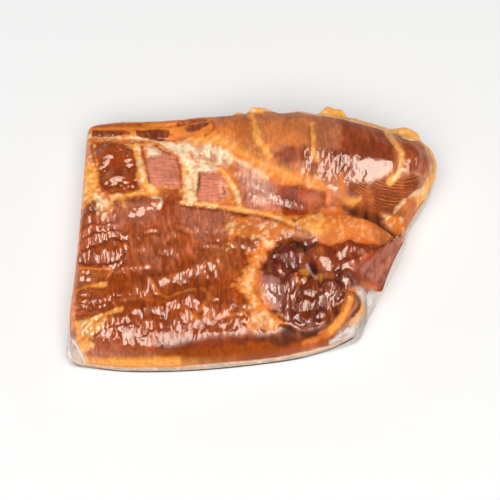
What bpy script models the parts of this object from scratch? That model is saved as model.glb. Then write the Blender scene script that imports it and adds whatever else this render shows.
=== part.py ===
"""A slab of smoked pork belly with the thick end of the loin muscle on it, sealed skin-tight in
clear film and lying flat. The solid is the outer form of the pack: meat and film together.

Plan places are in millimetres from a datum near the middle of the slab, with x along the long
side and y from the front edge to the back. The finished solid stands centred over the origin.
"""

import bmesh
import bpy
import numpy as np

MM = 0.001

# Driving sizes of the slab, in millimetres. The top droops towards the front and the left,
# and each droop has the place in y or x where it starts and where it ends
SLAB_THICKNESS = 34.0
FRONT_DROOP = 5.0
FRONT_DROOP_Y = (-40, -80)
LEFT_DROOP = 3.0
LEFT_DROOP_X = (-85, -118)
FLOOR_INSET = 2.5
CORNER_POWER = 36.0

# How finely the surface is divided: along x, along y, and down the wall, with closer lines
# near the edges and towards the right end, where the folds are
DIVISIONS = (74, 54, 4)
EDGE_CROWDING = 0.30
RIGHT_CROWDING = 0.22

# The four sides of the pack in plan, each from its left or front end
FRONT_SIDE = ((-118, -77), (-80, -80), (-33, -79), (20, -73), (50, -67), (73, -60))
BACK_SIDE = ((-113, 95), (-84, 96), (-50, 97), (-25, 99), (5, 100), (40, 99), (75, 94), (100, 87), (118, 77))
LEFT_SIDE = ((-118, -77), (-116.5, -20), (-114.5, 40), (-113, 95))
RIGHT_SIDE = ((73, -60), (77, -47), (86, -32), (95, -16), (102, -2), (107, 11), (112, 24), (120, 36),
              (128, 53), (127, 67), (118, 77))

# The loin muscle: place along x, its axis in y, half width and height of its top
LOIN = (
    (-64, 92, 6, 30),
    (-40, 88, 16, 38),
    (-20, 80, 26, 45),
    (0, 73, 35, 52),
    (20, 67, 41, 58),
    (40, 62, 43, 62),
    (60, 58, 43, 64),
    (80, 54, 40, 63),
    (100, 52, 35, 57),
    (113, 51, 29, 49),
    (122, 51, 20, 40),
    (129, 51, 10, 28),
)
LOIN_FOOT = 20.0
LOIN_FULLNESS = 0.62
LOIN_BLEND = 9.0

# Swellings and hollows of the top: centre x and y, half length, half width, turn in degrees, height
SWELLS = {
    "first rib panel": (-92, 55, 15, 18, 0, 2.4),
    "second rib panel": (-59, 56, 12, 17, 0, 2.0),
    "third rib panel": (-25, 40, 10, 12, 0, 1.8),
    "fat knots by the loin": (-28, 63, 12, 9, -30, 2.2),
    "end of the ribs": (8, 33, 16, 9, -35, 2.0),
    "fat roll": (64, 11, 32, 11, 6, 6.0),
    "mottled fat": (14, 6, 20, 9, 20, 2.5),
    "pocket": (30, -30, 27, 24, 10, -9.0),
    "hollow of the pocket": (41, -27, 7, 6, -45, -4.0),
    "round muscle": (51, -12, 12, 10, -20, 9.0),
    "purple muscle": (22, -14, 11, 8, 35, 5.0),
    "lavender muscle": (16, -38, 8, 11, 0, 6.0),
    "folded muscle": (33, -46, 11, 13, -20, 8.0),
    "glossy muscle": (55, -41, 10, 6, 15, 4.0),
    "knuckle of the flap": (68, -31, 8, 6, 0, 4.0),
    "leaf of the flap": (80, -12, 18, 10, 35, 3.0),
    "rim of the pocket": (68, -50, 14, 5, 55, 2.0),
    "belly shoulder": (-40, -5, 45, 22, -6, 1.5),
    "front left shoulder": (-88, -55, 22, 12, 10, 1.5),
}

# Furrows of the top: half width, depth at the first point and at the last, and the path
FURROWS = {
    "seam under the ribs": (
        4.5, 1.5, 2.5, ((-112, 32), (-90, 30), (-65, 30), (-45, 27), (-20, 24), (0, 20), (30, 11))),
    "crease under the loin": (5.5, 4.0, 11.0, ((54, 26), (66, 20), (80, 13), (92, 7), (104, 2))),
    "first rib line": (4.0, 1.2, 1.2, ((-110, 76), (-108, 55), (-107, 36))),
    "second rib line": (4.0, 1.5, 1.2, ((-77, 76), (-74, 55), (-76, 36))),
    "third rib line": (4.0, 1.2, 1.8, ((-43, 72), (-42, 55), (-42, 30))),
    "line behind the ribs": (4.5, 1.6, 1.6, ((-112, 80), (-80, 80), (-58, 78), (-44, 70))),
    "left lip of the pocket": (5.0, 2.0, 3.0, ((34, 2), (20, -3), (9, -18), (5, -36), (10, -53))),
    "groove before the folds": (
        5.0, 4.0, 4.0, ((8, -54), (20, -59), (33, -64), (45, -62), (53, -50), (66, -42), (78, -34))),
    "inner edge of the flap": (4.5, 1.0, 4.0, ((88, -3), (76, -13), (64, -24), (54, -28))),
}

# Long low bands of the belly muscle: their spacing, height, rise to the right, and where they fade
BAND_SPACING = 17.0
BAND_HEIGHT = 0.8
BAND_RISE = 0.22
BAND_FADE_X = (5, -10)
BAND_FADE_Y = (25, 12)

# Knobs of fat that stand out from the back of the loin: place, radii, reach and the way they lean
KNOBS = (
    ((5, 95, 43), (10.0, 8.0, 8.0), 5.0, (0.0, 0.70, 0.71)),
    ((57, 91, 46), (10.0, 9.0, 9.0), 6.0, (0.0, 0.70, 0.71)),
    ((107, 75, 42), (9.0, 8.0, 9.0), 6.5, (0.25, 0.68, 0.69)),
)

# The rounded upper edge: its least and most radius, and what each part adds to the least, with
# the places in x and in y over which that part comes in
EDGE_RADIUS = 7.0
EDGE_RADIUS_MOST = 20.0
EDGE_PARTS = {
    "front": (7.0, (80, 50), (-45, -70)),
    "loin": (9.0, (-40, 20), (5, 40)),
    "flap": (8.0, (55, 75), (20, 0)),
}

# A small step inward in the square of the plan, which finds the way in from the outline
STEP_INWARD = 0.98


def smooth_step(start, end, value):
    """0 before start, 1 after end, with a soft rise between."""
    share = np.clip((value - start) / (end - start), 0.0, 1.0)
    return share * share * (3.0 - 2.0 * share)


def smooth_max(first, second, blend):
    """The higher of two surfaces, rounded where they meet."""
    share = np.clip(0.5 + 0.5 * (first - second) / blend, 0.0, 1.0)
    return second + (first - second) * share + blend * share * (1.0 - share)


def spline_through(points, samples_per_span=16):
    """A smooth curve through the points, as dense samples."""
    knots = np.array(points, float)
    knots = np.vstack([2 * knots[0] - knots[1], knots, 2 * knots[-1] - knots[-2]])
    share = np.linspace(0.0, 1.0, samples_per_span, endpoint=False)[:, None]
    runs = []
    for a, b, c, d in zip(knots[:-3], knots[1:-2], knots[2:-1], knots[3:]):
        bend = (2 * a - 5 * b + 4 * c - d) * share**2 + (3 * b - a - 3 * c + d) * share**3
        runs.append(0.5 * (2 * b + (c - a) * share + bend))
    return np.vstack(runs + [knots[-2:-1]])


def point_at(curve, share):
    """Points on a sampled curve at shares of its length."""
    steps = np.linalg.norm(np.diff(curve, axis=0), axis=1)
    length = np.concatenate([[0.0], np.cumsum(steps)])
    return np.stack([np.interp(share, length / length[-1], curve[:, k]) for k in (0, 1)], axis=-1)


def read_stations(table, x, column):
    """A column of a table of stations along x, read smoothly between them."""
    table = np.array(table, float)
    places = table[:, 0]
    values = table[:, column]
    slopes = np.gradient(values, places)
    x = np.clip(x, places[0], places[-1])
    i = np.clip(np.searchsorted(places, x) - 1, 0, len(places) - 2)
    gap = places[i + 1] - places[i]
    t = (x - places[i]) / gap
    rise = (values[i + 1] - values[i]) * (3 * t**2 - 2 * t**3)
    return values[i] + rise + gap * (slopes[i] * (t**3 - 2 * t**2 + t) + slopes[i + 1] * (t**3 - t**2))


def nearest_on(path, x, y):
    """Distance to a path in plan, and the share of the path's length at the nearest point."""
    path = np.array(path, float)
    steps = np.linalg.norm(np.diff(path, axis=0), axis=1)
    length = np.concatenate([[0.0], np.cumsum(steps)])
    best = np.full(x.shape, np.inf)
    share = np.zeros(x.shape)
    for i, step in enumerate(steps):
        along = (path[i + 1] - path[i]) / step
        reach = np.clip((x - path[i, 0]) * along[0] + (y - path[i, 1]) * along[1], 0.0, step)
        gap = np.hypot(x - path[i, 0] - along[0] * reach, y - path[i, 1] - along[1] * reach)
        closer = gap < best
        best = np.where(closer, gap, best)
        share = np.where(closer, (length[i] + reach) / length[-1], share)
    return best, share


def pack_plan(p, q):
    """Maps the square -1..1 on to the pack's plan, with its four corners rounded."""
    ring = np.maximum(np.abs(p), np.abs(q))
    norm = (np.abs(p)**CORNER_POWER + np.abs(q)**CORNER_POWER)**(1.0 / CORNER_POWER)
    pull = np.where(norm > 0, ring / np.maximum(norm, 1e-9), 1.0)
    a = (p * pull + 1.0) / 2.0
    b = (q * pull + 1.0) / 2.0
    front, back = spline_through(FRONT_SIDE), spline_through(BACK_SIDE)
    left, right = spline_through(LEFT_SIDE), spline_through(RIGHT_SIDE)
    a1, b1 = a[..., None], b[..., None]
    across = (1 - b1) * point_at(front, a) + b1 * point_at(back, a)
    along = (1 - a1) * point_at(left, b) + a1 * point_at(right, b)
    corners = (1 - a1) * ((1 - b1) * left[0] + b1 * left[-1]) + a1 * ((1 - b1) * right[0] + b1 * right[-1])
    return across + along - corners


def pack_outline(samples=70):
    """The closed outline of the pack in plan."""
    run = np.linspace(-1.0, 1.0, samples, endpoint=False)
    one = np.ones(samples)
    p = np.concatenate([run, one, -run, -one])
    q = np.concatenate([-one, run, one, -run])
    loop = pack_plan(p, q)
    return np.vstack([loop, loop[:1]])


def loin_top(x, y):
    """The half-round top of the loin muscle, 0 outside it."""
    axis, half_width, top = (read_stations(LOIN, x, column) for column in (1, 2, 3))
    across = np.clip((y - axis) / half_width, -1.0, 1.0)
    dome = LOIN_FOOT + (top - LOIN_FOOT) * (1.0 - across**2)**LOIN_FULLNESS
    inside = (np.abs(y - axis) < half_width) & (x > LOIN[0][0]) & (x < LOIN[-1][0])
    return np.where(inside, dome, 0.0)


def relief(x, y):
    """Swellings, furrows and bands of the top, added to its height."""
    height = np.zeros(x.shape)
    for centre_x, centre_y, half_length, half_width, turn, rise in SWELLS.values():
        angle = np.radians(turn)
        along = (x - centre_x) * np.cos(angle) + (y - centre_y) * np.sin(angle)
        across = (y - centre_y) * np.cos(angle) - (x - centre_x) * np.sin(angle)
        spread = (along / half_length)**2 + (across / half_width)**2
        height += rise * np.exp(-(spread**1.5))
    for half_width, first_depth, last_depth, path in FURROWS.values():
        gap, share = nearest_on(path, x, y)
        height -= (first_depth + (last_depth - first_depth) * share) * np.exp(-((gap / half_width)**2))
    belly = smooth_step(*BAND_FADE_Y, y) * smooth_step(*BAND_FADE_X, x)
    height += BAND_HEIGHT * belly * np.sin(2 * np.pi * (y - BAND_RISE * x) / BAND_SPACING)
    return height


def edge_radius(x, y):
    """Radius of the rounded upper edge at a place in plan."""
    radius = np.full(x.shape, EDGE_RADIUS)
    for extra, x_range, y_range in EDGE_PARTS.values():
        radius += extra * smooth_step(*x_range, x) * smooth_step(*y_range, y)
    return np.minimum(radius, EDGE_RADIUS_MOST)


def top_height(x, y, outline):
    """Height of the pack's top above the floor, rounded off towards the outline."""
    slab = SLAB_THICKNESS - FRONT_DROOP * smooth_step(*FRONT_DROOP_Y, y)
    slab = slab - LEFT_DROOP * smooth_step(*LEFT_DROOP_X, x)
    height = smooth_max(slab + relief(x, y), loin_top(x, y), LOIN_BLEND)
    radius = edge_radius(x, y)
    inside = nearest_on(outline, x, y)[0]
    lean = np.clip(1.0 - inside / radius, 0.0, 1.0)
    return height - radius * (1.0 - np.sqrt(1.0 - lean**2))


def surface_point(p, q, r, outline):
    """Maps a point of the box -1..1 on to the surface of the pack."""
    eased_p = p + EDGE_CROWDING * np.sin(np.pi * p) / np.pi + RIGHT_CROWDING * (1.0 - p**2) / 2.0
    eased_q = q + EDGE_CROWDING * np.sin(np.pi * q) / np.pi
    plan = pack_plan(eased_p, eased_q)
    x, y = plan[:, 0], plan[:, 1]
    top = top_height(x, y, outline)
    rise = (r + 1.0) / 2.0
    inward = pack_plan(eased_p * STEP_INWARD, eased_q * STEP_INWARD) - plan
    inward /= np.maximum(np.linalg.norm(inward, axis=1, keepdims=True), 1e-6)
    plan = plan + inward * (FLOOR_INSET * (1.0 - rise)**2)[:, None]
    points = np.column_stack([plan, top * rise])
    for place, radii, reach, lean in KNOBS:
        spread = np.sum(((points - np.array(place)) / np.array(radii))**2, axis=1)
        points += np.exp(-(spread**1.5))[:, None] * reach * np.array(lean)
    return points


def divided_box(divisions):
    """A cube of -1..1 whose faces are divided into a grid."""
    bm = bmesh.new()
    bmesh.ops.create_cube(bm, size=2.0)
    for axis, count in enumerate(divisions):
        edges = [e for e in bm.edges if abs(e.verts[0].co[axis] - e.verts[1].co[axis]) > 1e-6]
        bmesh.ops.subdivide_edges(bm, edges=edges, cuts=count - 1, use_grid_fill=True)
    return bm


def make_pack(collection, material):
    """The sealed slab as one closed solid, centred over the origin."""
    bm = divided_box(DIVISIONS)
    places = np.array([v.co for v in bm.verts])
    points = surface_point(places[:, 0], places[:, 1], places[:, 2], pack_outline())
    middle = (points.min(axis=0) + points.max(axis=0)) / 2.0
    points[:, :2] -= middle[:2]
    under = [f for f in bm.faces if all(v.co.z < -0.999 for v in f.verts)]
    for vert, point in zip(bm.verts, points * MM):
        vert.co = point
    bmesh.ops.dissolve_faces(bm, faces=under, use_verts=True)
    bmesh.ops.triangulate(bm, faces=bm.faces, quad_method="SHORT_EDGE")
    bmesh.ops.recalc_face_normals(bm, faces=bm.faces)
    mesh = bpy.data.meshes.new("bacon_slab")
    bm.to_mesh(mesh)
    bm.free()
    mesh.shade_smooth()
    mesh.materials.append(material)
    slab = bpy.data.objects.new("bacon_slab", mesh)
    collection.objects.link(slab)
    return slab


def smoked_meat_material():
    """Smoked brown-orange meat under glossy film."""
    material = bpy.data.materials.new("Smoked meat under film")
    material.use_nodes = True
    shader = material.node_tree.nodes["Principled BSDF"]
    shader.inputs["Base Color"].default_value = (0.42, 0.13, 0.035, 1.0)
    shader.inputs["Roughness"].default_value = 0.25
    shader.inputs["Metallic"].default_value = 0.0
    return material


def main():
    for thing in list(bpy.data.objects):
        bpy.data.objects.remove(thing, do_unlink=True)
    collection = bpy.data.collections.new("Slab bacon")
    bpy.context.scene.collection.children.link(collection)
    make_pack(collection, smoked_meat_material())


main()
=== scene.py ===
"""Slab bacon in clear film: the meat, its flap and the skin-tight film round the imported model.

Plan places are in millimetres from a datum near the middle of the slab, with x along the long
side and y from the front edge to the back, as in the construction of the solid.
"""

import math

import bpy
import numpy as np
from bpy.props import FloatProperty, FloatVectorProperty, IntProperty, PointerProperty
from bpy.types import Operator, Panel, PropertyGroup
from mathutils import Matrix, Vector


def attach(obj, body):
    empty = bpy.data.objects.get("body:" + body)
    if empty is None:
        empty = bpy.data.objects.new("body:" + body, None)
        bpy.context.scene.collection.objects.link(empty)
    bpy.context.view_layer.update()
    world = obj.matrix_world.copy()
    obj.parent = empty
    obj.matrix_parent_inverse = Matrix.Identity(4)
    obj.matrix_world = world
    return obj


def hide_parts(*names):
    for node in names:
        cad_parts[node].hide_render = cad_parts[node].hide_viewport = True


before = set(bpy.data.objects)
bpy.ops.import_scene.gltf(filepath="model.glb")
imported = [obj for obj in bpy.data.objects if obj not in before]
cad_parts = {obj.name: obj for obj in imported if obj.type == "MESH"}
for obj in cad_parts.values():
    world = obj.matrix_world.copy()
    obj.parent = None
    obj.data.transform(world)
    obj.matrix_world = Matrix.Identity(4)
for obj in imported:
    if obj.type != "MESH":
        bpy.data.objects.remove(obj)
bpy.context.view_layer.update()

bl_info = {
    "name": "Slab Bacon",
    "version": (1, 0, 0),
    "blender": (4, 5, 0),
    "location": "3D View > Sidebar > Bacon",
    "description": "Builds a sealed slab of smoked bacon: meat, flap, clear film and stage",
    "category": "Add Mesh",
}

NODE = "bacon_slab"
BODY = "root"
MEAT_MATERIAL = "Smoked lean and fat"
MM = 0.001

# Where the middle of the pack's box lies from the datum, in millimetres
DATUM = np.array((5.456, 9.925, 0.0))

# The slab's driving sizes, as in the solid, the meat's height above the floor in its film, and how
# square the corners of a plan are and how close its grid lies near the edges
SLAB_THICKNESS = 34.0
FRONT_DROOP = 5.0
FRONT_DROOP_Y = (-40, -80)
LEFT_DROOP = 3.0
LEFT_DROOP_X = (-85, -118)
MEAT_LIFT = 0.4
CORNER_POWER = 36.0
EDGE_CROWDING = 0.30

# The four sides of the pack in plan, each from its left or front end. Here and in all the tables,
# the points of a path or a patch are a row of numbers, x and y by turns
PACK_SIDES = {
    "front": (-120, -77, -80, -80, -33, -79, 20, -73, 50, -67, 73, -60),
    "back": (-114.8, 96.5, -84, 97.5, -50, 98, -25, 99.5, 5, 100.5, 40, 99.5, 75, 94.5, 100, 87.5, 122, 79),
    "left": (-120, -77, -117.8, -48, -116.2, -20, -115.2, 20, -115, 60, -114.8, 96.5),
    "right": (73, -60, 77, -47, 85.5, -32, 94.5, -16, 102, -2, 107, 11, 111, 24, 119, 36, 127.5, 53, 129, 68,
        122, 79),
}

# The four sides of the meat inside the film. On the right it runs under the flap
MEAT_SIDES = {
    "front": (-117.3, -75.4, -80, -79.7, -33, -78.75, 20, -72.8, 45, -67.1, 60, -61.4),
    "back": (-114, 95, -84, 96, -50, 97, -25, 98.6, 5, 99.6, 40, 98.6, 75, 93.6, 100, 86.6, 121, 78),
    "left": (-117.3, -75.4, -117, -48, -115.6, -20, -114.6, 20, -114.4, 60, -114, 95),
    "right": (60, -61.4, 71, -54, 75.5, -46, 76, -38, 79, -28, 86, -15, 94, -3, 102.5, 9, 109, 23, 117.5, 36,
        126.5, 53, 128, 67, 121, 78),
}

# The loin muscle: place along x, its axis in y, half width and height of its top
LOIN = (
    (-64, 92, 6, 30), (-40, 88, 16, 38), (-20, 80, 26, 45), (0, 73, 35, 52), (20, 67, 41, 58), (40, 62, 43, 62),
    (60, 58, 43, 64), (80, 54, 40, 63), (100, 52, 35, 60), (113, 52, 31, 56), (122, 53, 24, 48), (129, 54, 13, 34),
)
LOIN_FOOT = 20.0
LOIN_FULLNESS = 0.62
LOIN_BLEND = 7.0

# Swellings and hollows of the top: centre x and y, half length, half width, turn in degrees, height
SWELLS = {
    "first rib panel": (-92, 55, 15, 18, 0, 2),
    "second rib panel": (-59, 54, 12, 18, 0, 1.8),
    "third rib panel": (-26, 40, 9, 12, 0, 1.4),
    "end of the ribs": (8, 36, 16, 9, -35, 1.6),
    "fat roll": (64, 11, 32, 11, 6, 6),
    "mottled fat": (14, 6, 20, 9, 20, 2.5),
    "pocket": (31, -30, 27, 27, 10, -3.6),
    "leaf of the flap": (80, -12, 18, 10, 35, 2),
    "rim of the pocket": (68, -50, 14, 5, 55, 2),
    "under the flap": (78, -23, 14, 7, 40, -6),
    "belly shoulder": (-40, -5, 45, 22, -6, 1.5),
    "front left shoulder": (-88, -55, 22, 12, 10, 1.5),
}

# The folded muscles in the pocket and beside it: centre x and y, half length, half width, turn in
# degrees, height of the top, height of the foot, and how much they fall towards the front
FOLDS = {
    "purple muscle": (23, -10, 14, 9, 27, 35.5, 30.4, 0.2),
    "purple foot": (17, -21.5, 10, 5, 4, 34, 29.4, 0.22),
    "lavender muscle": (12, -38, 14, 9, 85, 34.5, 28.9, 0.34),
    "first fold": (26, -38, 14.5, 6.5, 80, 35.5, 29.4, 0.32),
    "second fold": (37, -43, 16.5, 7, 66, 35.5, 29.4, 0.24),
    "foot of the folds": (37, -56, 10, 6, 14, 32.5, 26.9, 0.25),
    "curl": (32.5, -29.5, 4.6, 4, 0, 36, 30.4, 0.12),
    "glossy muscle": (52, -38.5, 10.5, 8.5, 35, 35.5, 29.4, 0.34),
    "knuckle of the flap": (64.5, -30.5, 8, 6.5, -50, 35.5, 29.4, 0.34),
    "round muscle": (48, -13.5, 12.5, 8.5, -32, 38.5, 31.4, 0.14),
    "round muscle foot": (51, -25.5, 8, 5.5, -20, 34.5, 29.4, 0.2),
    "right muscle": (63, -9.5, 8, 8, 60, 38.5, 31.4, 0.34),
    "outer right muscle": (74, -9, 8.5, 6.5, 20, 37.5, 31.4, 0.34),
    "fan of the flap": (66, -16, 8, 4.5, 25, 36.5, 30.4, 0.32),
}
FOLD_BLEND = 1.8

# Paths and a patch that two of the tables share
FAT_COLUMN = (-45, 68, -42, 60, -40.5, 50, -40, 40, -39.5, 32)
SEAM_LINE = (-46, 29, -38, 28, -20, 25.5, 0, 22, 14, 18.5, 28, 11)
FOLDS_GROOVE = (14, -49, 20, -54, 27, -60, 35, -62, 42, -60.5)
PANEL_CUT = (-65, 73.5, -59, 68.5, -55, 66)
FAT_ROLL = (30, 12, 62, 22, 100, 8, 98, 0, 50, -4, 40, 2)

# Furrows of the top: half width, depth at the first point and at the last, and the path
FURROWS = {
    "seam under the ribs": (2.4, 0.5, 0.8, (-112, 33, -90, 31, -72, 33, -57, 30, -45, 27.5, -20, 23.5, 0, 20, 15, 17,
        28, 11)),
    "crease under the loin": (3.2, 3, 13, (58, 24, 66, 20.5, 80, 16.5, 92, 10.5, 106, 6)),
    "left lip of the pocket": (1.5, 1.4, 0.9, (40, 2, 28, -1, 17, -6, 8.5, -17, 6, -22)),
    "groove before the folds": (2, 1.5, 0.8, FOLDS_GROOVE),
    "gap beside the fat column": (0.9, 1.6, 1.2, (-34.2, 53, -34.6, 44, -36, 34)),
    "cut in the second panel": (0.8, 0.8, 0.5, PANEL_CUT),
    "dark fold in the rim": (1.8, 2, 4, (66, -52, 70, -46, 70, -40, 67, -36)),
    "edge of the back strip": (1.6, 1, 0.8, (-110, 83, -84, 79.5, -57, 78, -45, 80)),
    "behind the back strip": (1.4, 0.8, 0.8, (-110, 90.5, -84, 90, -55, 89, -30, 90)),
}

# Low ridges of the belly muscle: half width, height, and the path of the crest
RIDGES = {
    "first row": (3.6, 1.4, (-95, -18.5, -82, -20, -68, -18.5)),
    "second row": (4.5, 1.5, (-110, -41, -90, -40, -74, -38, -66, -36.5)),
    "third row": (4.2, 1.5, (-90, -33, -72, -31, -57, -29, -48, -26, -38, -20.5, -22, -13.5)),
    "fourth row": (4.6, 1.4, (-94, -54, -76, -51, -60, -47, -48, -43)),
    "fifth row": (3.8, 1.3, (-97, -61, -76, -59, -50, -57)),
    "front shoulder": (4.5, 0.9, (-104, -68, -76, -65.5, -52, -65)),
    "left shoulder": (6, 1.3, (-103, 30, -101, 12, -98, -8)),
    "knot on the seam": (3.4, 1.8, (-66, 30, -61, 28)),
    "loin cross line": (3, -0.7, (42, 78, 42, 60, 45, 46)),
    "loin end line": (4, -1.2, (96, 84, 97, 66, 101, 54, 99, 38)),
    "loin first line": (3, -0.6, (3, 84, 5, 70, 10, 56)),
    "lip of the flap": (3, 1.5, (60, -19, 72, -15, 84, -8, 97, 3)),
    "rim of the belt": (2.4, 1.4, (20, -68, 38, -66, 54, -58, 62, -46, 65, -40)),
    "strand of the end": (1.6, 0.9, (-20, 56, -15, 49, -11, 41, -8, 33, -6, 26)),
    "fat column": (3.6, 1.2, FAT_COLUMN),
    "first fat line": (2.2, 0.9, (-79, 73, -77, 65, -74, 55, -72, 45, -67, 39)),
    "seam line": (1.6, 0.8, SEAM_LINE),
    "edge of the fat roll": (2, 0.8, (30, 12, 44, 18, 58, 21.5)),
}

# Shingles: rows of shallow steps that rise gently towards the back and drop off short. The patch,
# its softness, the length of a row, its height, how far rows wander, and how they lean
SHINGLES = {
    "left belly": ((-116, 28, -92, 28, -87, 8, -79, -4, -84, -20, -100, -19, -116, -17), 2, 10, 3.4, 4.5, -0.25),
    "left window": ((-116, -23, -101, -24, -103, -30, -116, -34), 1.5, 7, 1.6, 2, 0.3),
    "low left": ((-116, -37, -98, -36, -92, -50, -116, -55), 2, 4, 1.2, 2, 0.2),
    "upper belly": ((-84, 12, -50, 14, -16, 12, -14, -8, -44, -14, -80, -16), 4, 10, 1.3, 9, 0.45),
    "first panel foot": ((-97, 46, -80, 45, -78, 40, -98, 38), 1.2, 3.6, 0.8, 2, 0),
    "front left": ((-100, -57, -84, -54, -56, -63, -58, -68, -98, -68), 2.5, 9, 1, 3, -0.3),
}

# Facets: places where the surface tilts more, so that the light shows there. Centre x and y, half
# length, half width, turn in degrees, and the fall of the surface towards the right and the front
FACETS = {
    "lean stroke": (-63.5, -33.5, 7.5, 1.9, 116, 0, 0.48),
    "middle stroke": (-36.5, -44.5, 8, 2.8, 118, 0, 0.48),
    "middle bit": (-22.5, -43, 3.4, 2.2, 150, 0, 0.34),
    "middle right bit": (-24.5, -35, 2.2, 1.6, 110, 0, 0.34),
    "third row patch": (-55, -53, 5.5, 2.8, 102, 0, 0.4),
    "third row left": (-77.5, -57, 3.6, 2, 95, 0, 0.36),
    "third row bit": (-66.5, -60, 3.6, 1.8, 95, 0, 0.34),
    "front stroke": (-2.5, -64.5, 4.6, 1.7, 118, 0, 0.34),
    "front bright": (9, -60, 4, 3, 80, 0, 0.3),
    "front dots": (-30, -67, 2.6, 1.2, 80, 0, 0.3),
    "seam bright": (-12.5, -5.5, 2.6, 2, 150, 0, 0.34),
    "second panel top": (-67, 67.5, 6, 5, 20, 0, 0.3),
    "first panel left": (-99, 60, 13, 5.2, 84, 0, 0.4),
    "first panel low": (-94, 45, 9, 4.4, 14, 0, 0.38),
    "first panel top": (-91, 71, 11, 2.8, -10, 0, 0.38),
    "first panel right": (-83.5, 60, 9, 3.2, 100, 0, 0.38),
    "fat field left": (-46, 71, 5, 3, 20, 0, 0.22),
    "cream knots": (-30, 67, 7, 4.5, -10, 0, 0.26),
    "cream knots right": (-17, 61.5, 5, 4, -30, 0, 0.26),
    "column light": (-43, 58, 8, 2, 95, 0, 0.22),
    "end of the ribs": (3, 42, 11, 4.5, -38, 0, 0.2),
    "end of the ribs low": (6, 29, 8, 4, 0, 0, 0.16),
    "loin upper bits": (89, 53, 5.5, 3.5, 130, -0.1, 0.18),
    "loin end light": (111, 46, 8, 4.5, 88, -0.6, 0.16),
    "loin end far light": (116.5, 46, 7, 4, 84, -1.2, 0.12),
    "loin end strip": (104, 48, 7, 2.6, 88, -0.24, 0.12),
    "pocket right light": (64.5, -7.5, 4.6, 3, 118, 0, 0.2),
    "pocket outer light": (72.5, -10, 3.6, 2.4, 100, 0, 0.2),
    "pocket outer bit": (77.3, -8.5, 2, 1.4, 110, 0, 0.2),
    "pocket glossy light": (50, -37, 6, 4, 60, 0, 0.16),
    "pocket fan": (66.5, -15.5, 3.6, 2, 30, 0, 0.2),
    "belly haze": (-28, 7, 15, 4.5, 8, 0, 0.32),
    "belly haze left": (-75, 20, 9, 6, 20, 0, 0.34),
}

# Wrinkles: the patch where they lie, how softly it ends, their height, their spacing across and
# along, and how far they lean to the left of straight back
WRINKLES = {
    "left": ((-116, 30, -92, 30, -86, 10, -76, -4, -80, -22, -116, -20), 3, 0.3, 1.8, 9, 13),
    "upper": ((-90, 14, -16, 18, -14, -10, -60, -18, -80, -16), 4, 0.32, 1.9, 7, 8),
    "rows": ((-104, -16, -60, -18, -14, -6, -10, -50, -50, -64, -104, -62, -100, -34), 3, 0.34, 1.8, 8, 12),
    "front": ((-100, -58, -50, -58, 0, -54, 4, -68, -50, -70, -54, -78, -100, -78), 2, 0.15, 2, 8, 4),
    "low left": ((-116, -34, -98, -34, -96, -54, -116, -56), 2, 0.34, 5, 1.7, 0),
    "corner": ((-116, -56, -90, -54, -84, -62, -96, -78, -116, -78), 2.5, 0.16, 1.8, 7, -52),
    "first panel": ((-106, 74, -80, 70, -76, 38, -104, 36), 1.5, 0.12, 4.6, 1.5, 4),
    "panels": ((-70, 70, -48, 62, -14, 52, -16, 28, -68, 38), 1.5, 0.1, 5, 1.3, 0),
    "end of the ribs": ((-12, 58, 20, 38, 52, 30, 50, 20, 20, 18, -8, 24), 1.5, 0.26, 1.8, 4.5, -30),
    "fat field": ((-60, 78, -20, 76, -8, 58, -8, 28, -14, 28, -20, 54, -36, 54, -40, 30, -46, 30, -48, 60), 2, 0.4,
        3.4, 4.6, 20),
    "left fat": ((-116, 60, -104, 60, -100, 40, -72, 36, -56, 34, -60, 24, -114, 24), 2, 0.5, 1.9, 2.6, 30),
    "back strip": ((-112, 92, -30, 94, -30, 78, -112, 78), 2, 0.25, 5, 1.6, 0),
    "seam": ((-50, 31, 0, 24, 30, 14, 30, 6, -4, 16, -50, 24), 1.5, 0.35, 3, 1.6, 20),
    "mottled fat": ((-20, 18, 26, 14, 26, 2, 10, -6, 8, -24, 6, -44, 20, -60, 0, -66, -8, -50, -14, -36, -10, -20,
        -20, -8), 3, 0.34, 3, 4.8, 30),
    "pocket": ((42, 1, 18, -2, 8, -20, 8, -42, 22, -58, 44, -60, 50, -48, 64, -42, 72, -36, 60, -22, 44, -24,
        36, -12), 1, 0.26, 2.6, 4.4, 20),
    "right muscle": ((58, -3, 84, -4, 74, -20, 56, -20), 1, 0.25, 1.8, 4, 20),
    "round muscle": ((38, -6, 56, -6, 60, -20, 48, -22), 1, 0.08, 3.5, 1.6, 0),
    "fat roll": (FAT_ROLL, 2, 0.14, 2.6, 3.6, 20),
    "fat roll left": ((28, 13, 48, 20, 50, 2, 38, 3), 1.5, 0.35, 2, 2.8, 30),
    "loin back": ((-22, 98, 100, 90, 98, 56, 20, 54, -22, 76), 4, 0.1, 1.8, 6, 2),
    "loin front": ((28, 56, 62, 54, 66, 30, 44, 33), 2, 0.5, 1.6, 4.6, -10),
    "loin light edge": ((62, 50, 71, 50, 73, 30, 60, 32), 2, 0.26, 1.7, 4, -16),
    "loin light": ((73, 50, 99, 50, 99, 34, 73, 34), 2, 0.03, 3, 3, 0),
    "loin end": ((100, 66, 124, 64, 124, 44, 104, 30, 98, 36), 2, 0.12, 1.9, 4.6, -4),
    "crease fat": ((84, 18, 106, 18, 106, 8, 92, 10), 1, 0.5, 1.8, 2.2, 40),
    "belt": ((8, -66, 30, -62, 46, -60, 60, -44, 64, -52, 44, -66, 14, -72), 2, 0.14, 4, 1.8, -50),
}

# The wrinkle height at which the film is fully rippled, and the least ripple anywhere
RIPPLE_FULL = 0.30
RIPPLE_LEAST = 0.08

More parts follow.
